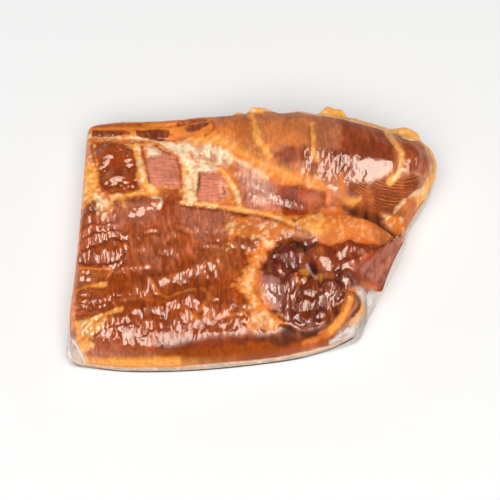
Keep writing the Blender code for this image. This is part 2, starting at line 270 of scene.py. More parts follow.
# Knobs of fat that stand out from the back of the loin, three large ones and the small ones along the
# back and the right rim: place, radii, reach and the way they lean
KNOBS = (
    ((5, 95, 43), (6.5, 7, 6), 4.6, (0, 0.7, 0.71)), ((57, 91, 46), (8.5, 7.5, 7), 5.6, (0, 0.7, 0.71)),
    ((107, 76, 42), (8.5, 7.5, 8), 5.6, (0.2, 0.68, 0.7)),
    ((-8, 95, 42), (3.5, 3.5, 3.5), 2.4, (0, 0.7, 0.7)), ((1, 96, 47), (3, 3, 3), 1.2, (0, 0.6, 0.8)),
    ((14, 96, 44), (5, 4, 4), 2.4, (0, 0.7, 0.7)), ((36, 95, 46), (9, 5, 5), 2, (0, 0.7, 0.7)),
    ((52, 92, 51), (4, 4, 4), 1.6, (0, 0.6, 0.8)), ((64, 91, 49), (4, 4, 4), 2.4, (0, 0.7, 0.7)),
    ((74, 88, 48), (6.5, 4.5, 4.5), 3.6, (0, 0.7, 0.7)), ((85, 85, 46), (8, 5, 5), 2.6, (0, 0.7, 0.7)),
    ((95, 82, 44), (6, 5, 5), 2.8, (0, 0.7, 0.7)), ((103, 76, 49), (3.5, 3.5, 3.5), 1.4, (0, 0.5, 0.85)),
    ((113, 73, 44), (3.5, 4, 4), 1.6, (0.4, 0.5, 0.7)), ((119, 76, 34), (5, 6, 7), 2.2, (0.6, 0.5, 0.6)),
    ((125, 70, 30), (5, 6, 6), 2.6, (0.75, 0.4, 0.5)), ((127, 60, 28), (5, 5, 6), 2, (0.8, 0.2, 0.5)),
    ((125, 50, 26), (5, 4.5, 6), 1.6, (0.8, 0, 0.6)), ((119, 40, 26), (4.5, 4.5, 6), 1.4, (0.8, -0.2, 0.6)),
)

# The rounded upper edge: its least and most radius, and what each part adds to the least, with
# the places in x and in y over which that part comes in
EDGE_RADIUS = 7.0
EDGE_RADIUS_MOST = 20.0
EDGE_PARTS = {
    "front": (7, (80, 50), (-45, -70)),
    "loin": (9, (-40, 20), (5, 40)),
    "flap": (8, (55, 75), (20, 0)),
}

# Strokes: short bright wrinkles that the film and the muscle's fibres make. Centre x and y of the
# field, its half sizes, its turn in degrees, how many, their half length, half width, height, and lean
STROKES = {
    "left upper": (-104, 2, 9, 22, 0, 40, 4.8, 1.3, 0.42, 12),
    "left bright": (-95, 10, 4, 14, 14, 12, 6.5, 1.9, 0.55, 14),
    "left middle": (-88, -8, 4, 11, 16, 12, 5.5, 1.7, 0.5, 16),
    "first row": (-80, -24, 9, 3.5, 6, 16, 2.6, 1, 0.4, 8),
    "upper middle": (-50, 2, 26, 11, 0, 60, 4.2, 1.2, 0.34, 14),
    "upper left": (-76, 18, 9, 8, 0, 16, 4.6, 1.3, 0.4, 16),
    "second row": (-82, -40, 21, 4.5, 18, 44, 3.2, 1.1, 0.48, 14),
    "bright lean": (-63, -33, 3, 6, 20, 6, 5.5, 1.8, 0.6, 20),
    "middle sprinkle": (-34, -21, 13, 6, 12, 34, 2, 0.9, 0.4, 10),
    "third row": (-66, -53, 26, 5, 14, 52, 3.4, 1.2, 0.5, 12),
    "bright middle": (-35, -45, 6, 6, 10, 10, 5, 1.9, 0.6, 18),
    "right sprinkle": (-22, -40, 9, 8, 0, 14, 2.6, 1.2, 0.42, 15),
    "fourth row": (-72, -64, 22, 5, 6, 34, 4.2, 1.6, 0.45, 10),
    "front patch": (-70, -70, 14, 4, 4, 18, 4.6, 2, 0.4, 12),
    "front left patch": (-92, -70, 9, 6, 25, 26, 5.4, 1.6, 0.55, -24),
    "front sprinkle": (-18, -61, 20, 6, 2, 36, 2.2, 0.8, 0.42, -12),
    "left low": (-107, -45, 7, 8, 0, 30, 1.2, 3.6, 0.42, 0),
    "first panel left": (-99, 58, 5, 13, 0, 36, 0.9, 3.4, 0.32, 4),
    "first panel right": (-83, 60, 4, 12, 0, 20, 1, 3.2, 0.3, 0),
    "first panel foot": (-92, 40, 11, 5, 0, 30, 1.8, 1.4, 0.3, 0),
    "loin front left": (48, 39, 16, 8, 22, 60, 3.4, 0.9, 0.4, -14),
    "loin highlight edge": (68, 36, 8, 6, 20, 24, 2.6, 0.9, 0.35, -16),
    "loin end": (112, 42, 6, 8, 0, 18, 3.2, 1.1, 0.45, -6),
    "end of the ribs": (6, 38, 12, 8, -35, 40, 3.6, 0.9, 0.3, 8),
    "ribs dark end": (32, 26, 8, 5, -10, 18, 2.4, 0.9, 0.36, 6),
    "mottled fat": (4, -2, 14, 14, 30, 50, 1.8, 1.2, 0.4, 30),
    "fat beside the pocket": (-1, -34, 6, 20, 0, 34, 3, 1.2, 0.36, 36),
    "bright fat in front": (6, -58, 9, 6, 0, 30, 2.6, 1.3, 0.55, 20),
    "pocket purple": (20, -10, 10, 7, 25, 24, 2.2, 1.1, 0.55, 20),
    "pocket folds": (28, -40, 13, 13, 0, 30, 3.4, 1.4, 0.5, 24),
    "pocket glossy": (52, -38, 8, 6, 20, 24, 3, 0.9, 0.45, -20),
    "fat roll left": (41, 6, 6, 9, 0, 22, 2.6, 0.9, 0.4, 20),
    "crease fat": (95, 13, 8, 3, -25, 14, 1.8, 0.9, 0.4, 30),
    "pale fat": (-33, 66, 14, 8, -25, 24, 3.2, 1.8, 0.45, 30),
    "fat column": (-41, 48, 4, 16, 0, 30, 2.2, 1.1, 0.35, 10),
    "seam": (-20, 24, 44, 2.5, -8, 50, 0.9, 2.6, 0.32, 10),
    "left fat": (-106, 34, 8, 6, 0, 26, 1.8, 1.2, 0.42, 30),
    "bottom left fat": (-103, -64, 8, 9, 0, 30, 4.6, 1.4, 0.5, -50),
}

# Painted features in their order. Each has its colour, its strength, the softness and raggedness of its
# border in millimetres, and its points. A line has its half width last; the others are closed patches
FEATURES = {
    # Painted sheen: pink lean where the film's dull shine lies on the upper belly
    "upper belly painted sheen": ("pink_lean", 0.52, 5, 3, (-92, 31, -62, 31, -60, 12, -90, 12)),
    "upper belly painted sheen right": ("pink_lean", 0.62, 4, 3, (-48, 26, -12, 22, -12, 3, -36, 3, -46, 12)),
    "upper belly middle": ("tan", 0.22, 6, 3, (-80, 10, -40, 10, -30, -12, -80, -16)),
    "front smooth": ("dark_lean", 1, 3, 2, (-60, -69, -20, -66, 12, -66, 8, -74, -58, -77)),
    "rib ground": ("smoke_fat", 1, 1.6, 1.6, (-116, 99, -50, 99, -24, 96, -20, 76, 2, 56, 24, 42, 50, 31, 52, 24,
        30, 14, 0, 21, -45, 28, -66, 34, -90, 33, -116, 31)),
    "loin ground": ("loin_lean", 1, 1.2, 1.2, (-26, 108, 130, 108, 138, 50, 122, 30, 110, 14, 96, 10, 80, 17,
        64, 22.5, 50, 31, 30, 43, 5, 56, -22, 76)),
    "fat roll": ("tan_fat", 1, 0.9, 0.8, (28, 11, 40, 18, 52, 22, 64, 22.5, 76, 18, 90, 12, 103, 7, 101, 1, 90, -2,
        76, -4, 66, -2, 58, -2, 50, -6, 45, -1, 37, 6)),
    "fat roll bright": ("gold_fat", 0.75, 3, 3, (33, 13, 46, 19, 50, 8, 44, 1, 36, 7)),
    "fat roll end": ("tan", 1, 4, 2, (84, 12, 101, 5, 100, -2, 88, -4, 80, 2)),
    "fat roll line": ("gold_fat", 0.35, 0.8, 0.6, (61, 21, 59, 12, 62, 2), 0.6),
    "mottled fat": ("smoke_fat", 0.85, 1.6, 5, (-16, 18, 8, 19, 24, 14, 30, 8, 24, 2, 14, -4, 8, -14, -12, -8,
        -18, 6)),
    "mottled pink": ("salmon", 0.8, 2, 2, (1, 18, 16, 15, 18, 8, 6, 8)),
    "mottled brown": ("red_lean", 0.9, 1.2, 2.5, (-10, 3, 6, 0, 14, -6, 4, -10, -12, -6)),
    "fat beside the pocket": ("smoke_fat", 1, 1.4, 4, (16, -1, 14, -8, 8, -16, 5, -26, 7, -40, 14, -50, 22, -58,
        16, -64, 2, -63, -4, -50, -1, -40, -12, -34, -8, -27, -1, -24, 2, -10, 8, -2)),
    "gold beside the pocket": ("gold_fat", 0.7, 1.6, 3, (4, -14, 1, -30, 4, -44, -3, -40, -3, -22)),
    "cream before the pocket": ("pale_fat", 0.25, 1.4, 3, (4, -50, 12, -52, 14, -60, 4, -63, 1, -57)),
    "left fat patch": ("gold_fat", 0.9, 1.6, 1.6, (-112, 44, -107, 40, -101, 31, -111, 28, -114, 34)),
    "left pale patch": ("pale_fat", 0.9, 1.2, 2.4, (-105, 35, -95, 33, -93, 23, -97, 16, -103, 20)),
    "left dark nick": ("dark_lean", 0.8, 0.8, 0.6, (-110, 26, -103, 28, -104, 24, -109, 23)),
    "seam loops": ("gold_fat", 0.8, 0.9, 1, (-93, 22, -95, 28, -91, 32, -86, 31, -84, 26), 1.3),
    "seam gold": ("gold_fat", 0.9, 0.9, 0.8, (-92, 33, -82, 34.5, -72, 36, -64, 32), 1.4),
    "seam knot": ("cream", 0.95, 0.7, 0.5, (-66, 33, -61, 32, -59, 28.5, -62, 24), 1.2),
    "seam line": ("gold_fat", 0.8, 1, 1.8, SEAM_LINE, 1.4),
    "seam light": ("pale_fat", 0.45, 0.8, 1.4, (-34, 27.5, -20, 26, -6, 23.5, 10, 20, 27, 12.5), 0.6),
    # Painted shade below the raised seam
    "under the seam": ("deep", 0.45, 0.8, 1.2, (-46, 26, -38, 25, -20, 22.3, 0, 18.8, 14, 15.3, 27, 9), 0.8),
    "seam red": ("red_lean", 0.8, 1.2, 1.2, (-58, 30, -52, 30, -46, 31.5), 1.8),
    "ribs foot": ("red_lean", 0.8, 1.6, 1, (-68, 38, -48, 40, -46, 31, -57, 31, -66, 34)),
    "first panel": ("belly", 1, 0.9, 1, (-107, 77, -98, 77, -86, 73.5, -80, 68, -78, 58, -77, 47, -75, 39, -84, 35,
        -98, 34.5, -102, 42, -103.5, 52, -104, 60, -107, 70)),
    "first panel dark": ("red_lean", 0.6, 2.5, 1.5, (-95, 67, -88, 67, -85, 56, -80, 46, -96, 44)),
    "first panel edge": ("red_lean", 0.7, 1, 0.6, (-108, 78.5, -96, 77.5, -82, 75.5, -74, 76), 1.2),
    "second panel": ("pink_lean", 1, 0.8, 0.8, (-72, 73, -64, 71, -54, 66.5, -49, 60, -47, 50, -46.5, 40, -58, 40.5,
        -67, 41, -69, 50, -70.5, 60)),
    # Painted sheen of the dull film on the rib panel
    "second panel painted sheen": ("cream", 0.75, 2.5, 1.5, (-72, 73, -63, 71, -62, 65, -70, 64)),
    "second panel cut": ("dark_lean", 0.85, 0.5, 0.3, PANEL_CUT, 0.6),
    "second panel edge": ("red_lean", 0.9, 0.6, 0.5, (-50, 62, -47.5, 53, -46.5, 40), 0.9),
    "third panel": ("pink_lean", 1, 0.8, 0.8, (-33.5, 52.5, -22, 52, -18, 47, -19, 38, -16, 30, -28, 28.5,
        -35.5, 29.5, -34.5, 40)),
    # Painted sheen of the dull film on the rib panel
    "third panel painted sheen": ("haze_pink", 0.6, 1.2, 1, (-20, 46, -15, 41, -13, 33, -18, 33, -21, 40)),
    "third panel nick": ("dark_lean", 0.9, 0.5, 0.3, (-18.5, 40, -17, 36, -18, 35), 0.8),
    "end of the ribs": ("pink_lean", 1, 0.8, 0.8, (-10, 58, 0, 50.5, 10, 41.5, 19, 36.5, 22, 28, 20, 22, 6, 22.5,
        -4, 24, -6, 34, -8, 44, -11, 52)),
    # Painted sheen of the dull film on the end of the ribs
    "end of the ribs painted sheen": ("haze_pink", 0.9, 2.5, 2, (-8, 55, 4, 46, 14, 38, 18, 28, 4, 26, -2, 40)),
    "ribs dark end": ("red_lean", 1, 1, 1, (18, 37, 30, 35, 44, 31, 51, 28, 50, 23, 36, 18, 22, 18.5, 21, 28)),
    "ribs red tip": ("salmon", 0.3, 1.2, 1, (30, 30, 44, 28, 50, 25, 40, 24)),
    "first fat line": ("gold_fat", 0.95, 0.8, 1.2, (-79, 73, -77.5, 66, -75, 59, -73.5, 51, -72, 45, -68, 40,
        -64, 36), 2.1),
    "first fat lumps": ("cream", 0.8, 0.7, 2.2, (-76.5, 70, -75.5, 62, -74, 54, -72.5, 46), 0.9),
    "first fat edge": ("red_lean", 0.9, 0.6, 0.5, (-74.5, 73, -73, 65, -71, 58, -69.5, 50, -68, 43), 0.7),
    "fat column": ("pale_fat", 1, 0.9, 1.2, FAT_COLUMN, 4.4),
    "fat column gold": ("gold_fat", 0.75, 0.7, 0.9, (-45, 64, -44, 54, -44.5, 44, -43, 34), 0.9),
    "fat column strands": ("smoke_fat", 0.55, 0.5, 0.8, (-41, 62, -39, 52, -38.5, 42, -37, 33), 0.6),
    # Painted shade in the gap beside the fat column
    "column gap": ("deep", 0.85, 0.5, 0.4, (-34.2, 53, -34.6, 44, -36, 35), 0.6),
    "fat field": ("cream", 0.95, 1.2, 2, (-64, 77.5, -50, 76, -40, 77, -28, 72, -14, 62, -10, 57, -20, 53, -36, 54,
        -46, 60, -52, 68)),
    "fat field gold": ("gold_fat", 0.7, 1.2, 2, (-46, 80, -30, 77, -22, 70, -34, 72, -46, 76)),
    "fat field knots": ("cream", 1, 1, 1, (-37, 69, -31, 72, -24, 67, -25, 61, -33, 63)),
    "fat field knot right": ("cream", 0.85, 1, 1, (-22, 64, -17, 66, -12, 60, -16, 57, -21, 59)),
    "fat field strands": ("smoke_fat", 0.7, 0.6, 1, (-40, 66, -36, 60, -27, 58, -18, 55), 0.8),
    "strand by the end": ("gold_fat", 0.9, 0.8, 1.6, (-20, 56, -16, 50, -12, 42, -8.5, 34, -6.5, 26), 1.7),
    "strand light": ("cream", 0.65, 0.6, 1.4, (-15, 47, -10, 38, -7, 29), 0.7),
    "pale bit in the end": ("pale_fat", 0.9, 0.5, 0.5, (-10, 50.5, -7, 49), 0.8),
    "pale line": ("pale_fat", 0.9, 0.9, 1.3, (-113, 84, -105, 82.5, -95, 81, -85, 79.5, -76, 79.5, -66, 78, -58, 76),
        1.3),
    "under the pale line": ("smoke_fat", 0.8, 0.8, 0.8, (-108, 79.5, -92, 78, -80, 77), 1.2),
    "first back bar": ("bar_lean", 1, 0.5, 0.6, (-110.5, 83, -110, 89, -104, 87, -84.5, 86, -83, 82.6, -98, 81.4)),
    "second back bar": ("bar_lean", 1, 0.5, 0.6, (-79.5, 86, -73, 86.5, -59.5, 86.8, -55.8, 85, -56.2, 80.6,
        -61.4, 77, -67.6, 78.6, -78.6, 81.4)),
    "third back bar": ("bar_lean", 1, 0.5, 0.6, (-46, 86, -41.5, 88, -32.5, 88.5, -28, 87, -30.5, 84.5, -36, 82.5,
        -43, 83)),
    "back top layer": ("red_lean", 0.75, 1, 1, (-108, 91.5, -90, 91, -76, 91), 1.3),
    "back top layer right": ("red_lean", 0.85, 0.9, 1, (-50, 90, -40, 91.5, -31, 90), 1.6),
    "arc by the loin": ("red_lean", 0.7, 0.6, 0.5, (-26, 88, -24.5, 83, -27, 79, -31, 78), 0.8),
    "left salmon": ("salmon", 0.9, 1.4, 1.6, (-116, 80, -110, 78, -106, 62, -108, 56, -116, 56)),
    "left lean streaks": ("red_lean", 0.8, 0.8, 1.2, (-110, 76, -108, 68, -106, 60), 1),
    "left fat": ("gold_fat", 0.95, 1.2, 1, (-114, 62, -107, 60, -103.5, 50, -104, 40, -114, 38)),
    "loin left orange": ("smoke_fat", 0.55, 3, 4, (-24, 78, 0, 88, 4, 62, -6, 66)),
    "loin left brown": ("loin_dark", 0.35, 2.5, 3, (-18, 84, 0, 90, 2, 66, -8, 70)),
    "loin mist": ("smoke_fat", 0.34, 3, 5, (12, 80, 38, 78, 38, 58, 14, 58)),
    "loin middle dark": ("loin_dark", 0.9, 2, 2.5, (13, 57, 38, 56, 38, 48, 24, 47)),
    "loin strokes ground": ("loin_dark", 0.75, 2, 2, (34, 52, 60, 53, 62, 36, 54, 33, 40, 38)),
    "loin right": ("loin_dark", 0.9, 2.5, 1.5, (60, 84, 90, 74, 96, 60, 96, 44, 84, 36, 62, 34, 56, 46, 60, 60)),
    "loin right streaks": ("mauve", 0.4, 2, 2.5, (46, 76, 60, 76, 60, 52, 46, 50)),
    "loin lines ground": ("dark_lean", 0.9, 1.2, 1, (64, 33, 84, 34, 100, 36, 118, 42, 112, 28, 104, 20, 84, 16,
        66, 21)),
    # Painted shade under the loin's overhanging edge
    "under the loin": ("deep", 0.9, 1.2, 0.8, (64, 21.5, 76, 20, 90, 16, 84, 14.5, 72, 18)),
    "loin end lean": ("red_lean", 0.85, 1.6, 1.2, (102, 61, 116, 62, 121, 54, 120, 44, 104, 40)),
    "first cross line": ("gold_fat", 0.72, 0.9, 1.4, (1, 89, 3, 80, 5, 70, 8, 62, 13, 54), 1.9),
    "second cross line": ("gold_fat", 0.8, 0.8, 1.4, (42, 76, 40.5, 68, 42.5, 61, 41.5, 54, 45, 46), 1.5),
    "second cross edge": ("loin_dark", 0.9, 0.5, 0.4, (39.7, 72, 39.6, 62, 39.8, 52), 0.5),
    "third cross line": ("gold_fat", 0.85, 1.1, 1.2, (93, 90, 92.5, 78, 93.5, 67, 96.5, 59, 100, 54), 2.6),
    "third cross low": ("gold_fat", 0.85, 0.8, 0.8, (100, 54, 100, 46, 98, 38, 92, 33), 1.9),
    # Painted highlight: pale along the lower part of the third cross line
    "third cross painted highlight": ("pale_fat", 0.7, 0.7, 0.8, (100, 52, 99, 44, 97, 37, 92, 33), 0.8),
    "diagonal band": ("gold_fat", 0.42, 1.8, 1.2, (-26, 76, -14, 67.5, 0, 58, 10, 49.8, 22, 42.8, 34, 38, 46, 33.5),
        3),
    "diagonal tip": ("smoke_fat", 0.95, 0.7, 0.6, (30, 40, 44, 34, 51, 29, 52, 25), 1.3),
    "diagonal light": ("pale_fat", 0.75, 0.7, 0.7, (-18, 63.5, -8, 57, 2, 49.5, 12, 42), 0.8),
    "loin notch": ("salmon", 0.55, 1.5, 1.5, (51, 30, 58, 30, 64, 25, 58, 23, 51, 24)),
    "loin notch light": ("cream", 0.85, 0.5, 0.5, (52, 31.5, 57, 30), 0.9),
    "loin notch gold": ("gold_fat", 0.8, 0.7, 0.7, (63, 24.5, 68, 24, 73, 24.5), 1.2),
    "loin column foot": ("smoke_fat", 0.85, 0.9, 0.9, (60, 36, 61, 30, 62, 26), 1.8),
    "back fat left": ("smoke_fat", 0.8, 1.6, 1.2, (-8, 95, 6, 97, 20, 97), 3.2),
    "back fat": ("gold_fat", 0.95, 1.6, 1.6, (24, 104, 30, 93, 46, 87, 60, 83.5, 72, 80.5, 86, 77, 96, 73, 104, 72,
        112, 86, 80, 104)),
    "back fat light": ("pale_fat", 0.8, 0.8, 0.8, (34, 92, 48, 86, 60, 83, 72, 80, 86, 76.5, 94, 72.5), 0.9),
    "back fat lean": ("red_lean", 0.7, 0.8, 1, (66, 88, 74, 87, 80, 85), 0.8),
    "end knob": ("gold_fat", 1, 1.2, 0.8, (101, 84, 114, 80, 114, 68, 108, 64, 100, 70)),
    # Painted highlight on the end knob's lower lip, with painted shade beneath it
    "end knob painted highlight": ("cream", 0.8, 0.7, 0.6, (102, 67, 106, 65.5, 110, 67), 1),
    "end knob shade": ("dark_lean", 0.8, 0.8, 0.6, (100, 69, 103, 64.5, 109, 63), 0.9),
    "end rim": ("gold_fat", 0.9, 1.2, 1.6, (116, 76, 124, 68, 127.5, 58, 126, 48, 120, 38), 3),
    "end rim strands": ("gold_fat", 0.8, 0.6, 0.8, (113, 70, 119, 62, 122, 54, 121, 47), 0.7),
    "end below the line": ("tan", 0.9, 1, 1.5, (97, 20, 104, 26, 118, 37, 121, 34, 113, 22, 106, 12, 98, 12)),
    "end gold": ("gold_fat", 0.8, 1, 1.2, (110, 30, 119, 38, 124, 46, 124, 38, 116, 28)),
    "end lower line": ("pale_fat", 0.65, 0.6, 0.9, (96, 20, 103, 26, 110, 31, 118, 37.5, 120, 42), 0.5),
    "crease gold": ("smoke_fat", 0.9, 1, 1.8, (87, 18, 100, 18, 107, 16, 104, 10, 96, 9)),
    "crease light": ("cream", 0.7, 0.5, 0.6, (84, 11, 88, 10, 93, 5), 0.7),
    "crease lens": ("mauve", 0.9, 0.6, 0.5, (63, 21.5, 67, 19.5, 71, 16.5), 1.4),
    # Painted shade in the crease under the loin
    "crease dark": ("deep", 0.95, 0.6, 0.4, (62, 22, 72, 19, 84, 15, 92, 10.5, 102, 7.5), 0.9),
    "tan lens": ("tan", 1, 0.6, 0.5, (27, 2, 31, 6.5, 37, 7, 42, 1, 38, -1, 31, -1)),
    "pocket ground": ("plum", 1, 0.9, 1.2, (42, -1, 36, 0, 30, -1, 19, -4, 13, -11, 8.5, -19, 6.5, -28, 9, -40,
        15, -50, 22, -57, 33, -61.5, 44, -60, 50, -48, 61, -43, 69, -38, 70, -30, 62, -22, 56, -8, 50, -6, 46, -3)),
    # Purple lean with painted sheen in part
    "lavender muscle": ("lavender", 0.85, 1.2, 1.4, (6.5, -27, 20, -27, 21, -38, 19, -50, 9, -42)),
    "first fold": ("fold_lean", 0.9, 1.2, 1.2, (21, -24, 30, -25, 32, -50, 24, -50)),
    "second fold": ("dark_lean", 0.95, 0.9, 1.2, (31, -26, 42, -28, 44, -50, 38, -58, 31, -52)),
    "glossy muscle": ("fold_lean", 0.95, 1, 0.8, (44, -32, 58, -30, 61, -41, 50, -46, 43, -42)),
    "knuckle": ("fold_lean", 0.95, 0.8, 0.6, (59, -24, 66, -23, 71, -32, 66, -38, 61, -36)),
    "foot of the round muscle": ("fold_lean", 0.8, 1, 0.8, (45, -23, 57, -22, 58, -28, 48, -31)),
    "knuckle fat": ("smoke_fat", 0.9, 0.7, 0.7, (61, -36, 69, -33, 71, -36, 63, -41)),
    "curl": ("tan", 0.95, 0.6, 0.4, (29.5, -27, 31, -24.5, 35, -25, 36, -29, 33, -31.5, 30.5, -29.5), 1.3),
    "round muscle": ("round_lean", 1, 0.8, 0.5, (38, -8, 43, -5, 50, -6, 56, -9, 59, -15, 60, -20, 52, -22, 44, -18)),
    "round muscle dark": ("plum", 0.35, 1.5, 1, (48, -7, 55, -9, 57, -16, 50, -12)),
    "right muscle": ("right_lean", 1, 0.9, 0.6, (57, -8, 60, -3, 67, -1.5, 76, -4, 88, -5, 82, -10, 70, -17, 61, -20,
        59, -13)),
    "line by the flap": ("smoke_fat", 0.35, 0.6, 0.5, (62, -20, 70, -16.5, 77, -12, 82, -8.5), 0.7),
    # Painted shade: nearly black in the pocket's hollow
    "pocket hollow": ("black_lean", 0.9, 0.7, 0.8, (39, -17, 42, -18, 46, -23, 49, -28, 46, -30, 42, -26)),
    "hollow gold": ("olive_fat", 0.9, 0.6, 0.6, (31, -20.5, 38, -19, 39, -24, 34, -25)),
    "hollow gold right": ("olive_fat", 0.85, 0.6, 0.6, (41, -24, 47, -25, 47, -29, 42, -30)),
    # Painted shade: nearly black in small pits
    "pits in painted shade": ("black_lean", 0.9, 0.6, 0.6, (30, -2, 35, -4, 38, -7, 34, -8, 29, -5)),
    # Painted shade in the furrow along the pocket's lip
    "pocket lip": ("deep", 0.4, 0.6, 0.5, (30, -1, 19, -4, 13, -11, 8.5, -19, 8, -22), 0.7),
    "pocket left edge": ("salmon", 0.85, 0.9, 1, (6.5, -23, 6, -30, 8.5, -40, 13, -47), 1.6),
    # Painted shade in the groove before the folds
    "gap before the folds": ("deep", 0.5, 0.9, 1.2, FOLDS_GROOVE, 0.8),
    "gap light": ("olive_fat", 0.8, 0.6, 0.8, (17, -51, 22, -54, 24, -57), 0.7),
    "belt": ("belt_lean", 1, 1, 0.8, (12, -66, 24, -59.5, 35, -62.5, 46, -60, 52, -49, 60, -44.5, 63, -42, 61, -52,
        54, -60, 40, -66.5, 22, -71, 6, -73)),
    "belt left": ("deep", 0.45, 2.5, 1.5, (-8, -67, 14, -64, 26, -61, 24, -71, -4, -75)),
    "belt shade": ("deep", 0.65, 1, 0.8, (20, -60, 33, -64.5, 45, -62.5), 1.2),
    "belt rim": ("tan_fat", 0.8, 0.7, 0.6, (34, -68.6, 44, -65.6, 52, -61.6, 60, -54), 0.8),
    "rim fat": ("tan_fat", 1, 0.9, 1.2, (62, -39, 67, -38, 67, -46, 64, -54, 58, -60, 48, -64.5, 44, -64, 53, -58,
        58, -51, 61, -44)),
    "rim fold": ("dark_lean", 0.9, 0.7, 0.5, (64, -55, 69.5, -47, 70, -40, 67.5, -36.5), 1.1),
    "rim outer": ("gold_fat", 0.85, 0.7, 0.5, (66, -57, 73, -49, 74.5, -42, 72.5, -37), 2.2),
    "rim bright": ("gold_fat", 0.6, 0.9, 1, (52, -61.5, 58, -57, 62.5, -49, 65, -43), 1.4),
    "flap root": ("red_lean", 0.9, 1.5, 1, (64, -22, 76, -15, 88, -6, 98, 2), 2.5),
    "inside the lens": ("tan", 0.55, 1.5, 1.2, (-113, -21, -98, -22, -92, -25, -100, -30, -113, -34)),
    "right of the belly": ("tan", 0.35, 5, 4, (-30, -2, -8, -4, -10, -24, -34, -22)),
    "lens line top": ("smoke_fat", 0.85, 0.6, 0.6, (-114, -19, -100, -20.5, -91, -22, -93, -28), 0.8),
    "lens line low": ("smoke_fat", 0.9, 0.7, 0.6, (-115, -36.5, -108, -33.5, -101, -31.5), 1),
    "lens patch": ("gold_fat", 0.9, 0.7, 0.5, (-103, -33, -98, -30, -92.5, -30, -92.5, -34, -100, -34)),
    "belly arc": ("smoke_fat", 0.6, 0.8, 0.8, (-66, -27, -60, -37, -53, -41.5, -45, -38, -36, -36), 0.9),
    "belly arc right": ("smoke_fat", 0.6, 0.8, 0.8, (-31, -35, -27, -40, -29, -47, -34, -51), 1),
    "belly line right": ("smoke_fat", 0.55, 0.9, 0.8, (-44, -52, -35, -54.5, -20, -54, -4, -52), 0.9),
    "belly line long": ("smoke_fat", 0.4, 1, 0.8, (-84, -44, -70, -43, -52, -46, -40, -50), 1),
    "belly line middle": ("smoke_fat", 0.4, 1, 0.8, (-60, -29, -48, -26, -36, -23), 1),
    "low left line": ("gold_fat", 0.85, 0.9, 1.2, (-114, -58, -100, -56.5, -90, -53, -82, -50.5), 1.6),
    "low left fat": ("gold_fat", 0.85, 2, 4, (-112, -58, -100, -58, -93, -58, -98, -64, -102, -72, -111, -77)),
    "front edge": ("amber_lean", 0.9, 1.5, 1.5, (-88, -75, -60, -75.5, -33, -74, 10, -69, 20, -71, 20, -78,
        -90, -84)),
    "front edge gold": ("gold_fat", 0.7, 1.2, 0.6, (-110, -77.2, -98, -78.8, -80, -79.8, -58, -79.6, -46, -79.4),
        1.5),
    "left rim": ("salmon", 0.85, 1.2, 1.2, (-114, 30, -115, 0, -115.5, -30, -114.5, -58), 1.8),
    "front edge gold middle": ("gold_fat", 0.4, 1.6, 0.8, (-47, -79.4, -40, -79.2, -34, -79), 1),
    "front edge gold right": ("gold_fat", 0.3, 1.6, 0.6, (-32, -78.9, -26, -78.6, -20, -78.2), 0.6),
    "front edge gold end": ("gold_fat", 0.15, 1.6, 0.6, (-18, -78, -10, -77), 0.6),
}

# Where fat is mottled: how much, its softness, and the patch
MOTTLING = {
    "ribs": (0.55, 4, (-116, 80, -50, 80, -10, 62, -6, 26, -60, 22, -116, 22)),
    "mottled fat": (1, 4, (-20, 20, 30, 16, 24, 0, 6, -8, -18, -10)),
    "beside the pocket": (0.7, 3, (12, -6, 4, -20, 4, -42, 20, -58, 12, -66, -6, -62, -14, -38, -14, -20, -4, -6)),
    "front left": (0.8, 3, (-114, -54, -84, -50, -84, -64, -98, -78, -114, -78)),
    "fat roll": (0.25, 3, FAT_ROLL),
    "fat roll left": (0.8, 3, (28, 13, 48, 20, 48, 10, 38, 3)),
    "crease": (0.9, 2, (84, 20, 108, 20, 108, 6, 92, 8)),
    "loin band": (0.3, 3, (-26, 80, 0, 66, 50, 36, 50, 28, 10, 40, -24, 66)),
    "back": (0.7, 3, (30, 100, 120, 90, 128, 60, 118, 40, 112, 66, 96, 78, 40, 84)),
    "left edge": (0.35, 2, (-118, 80, -108, 80, -104, 50, -108, 20, -118, 20)),
}

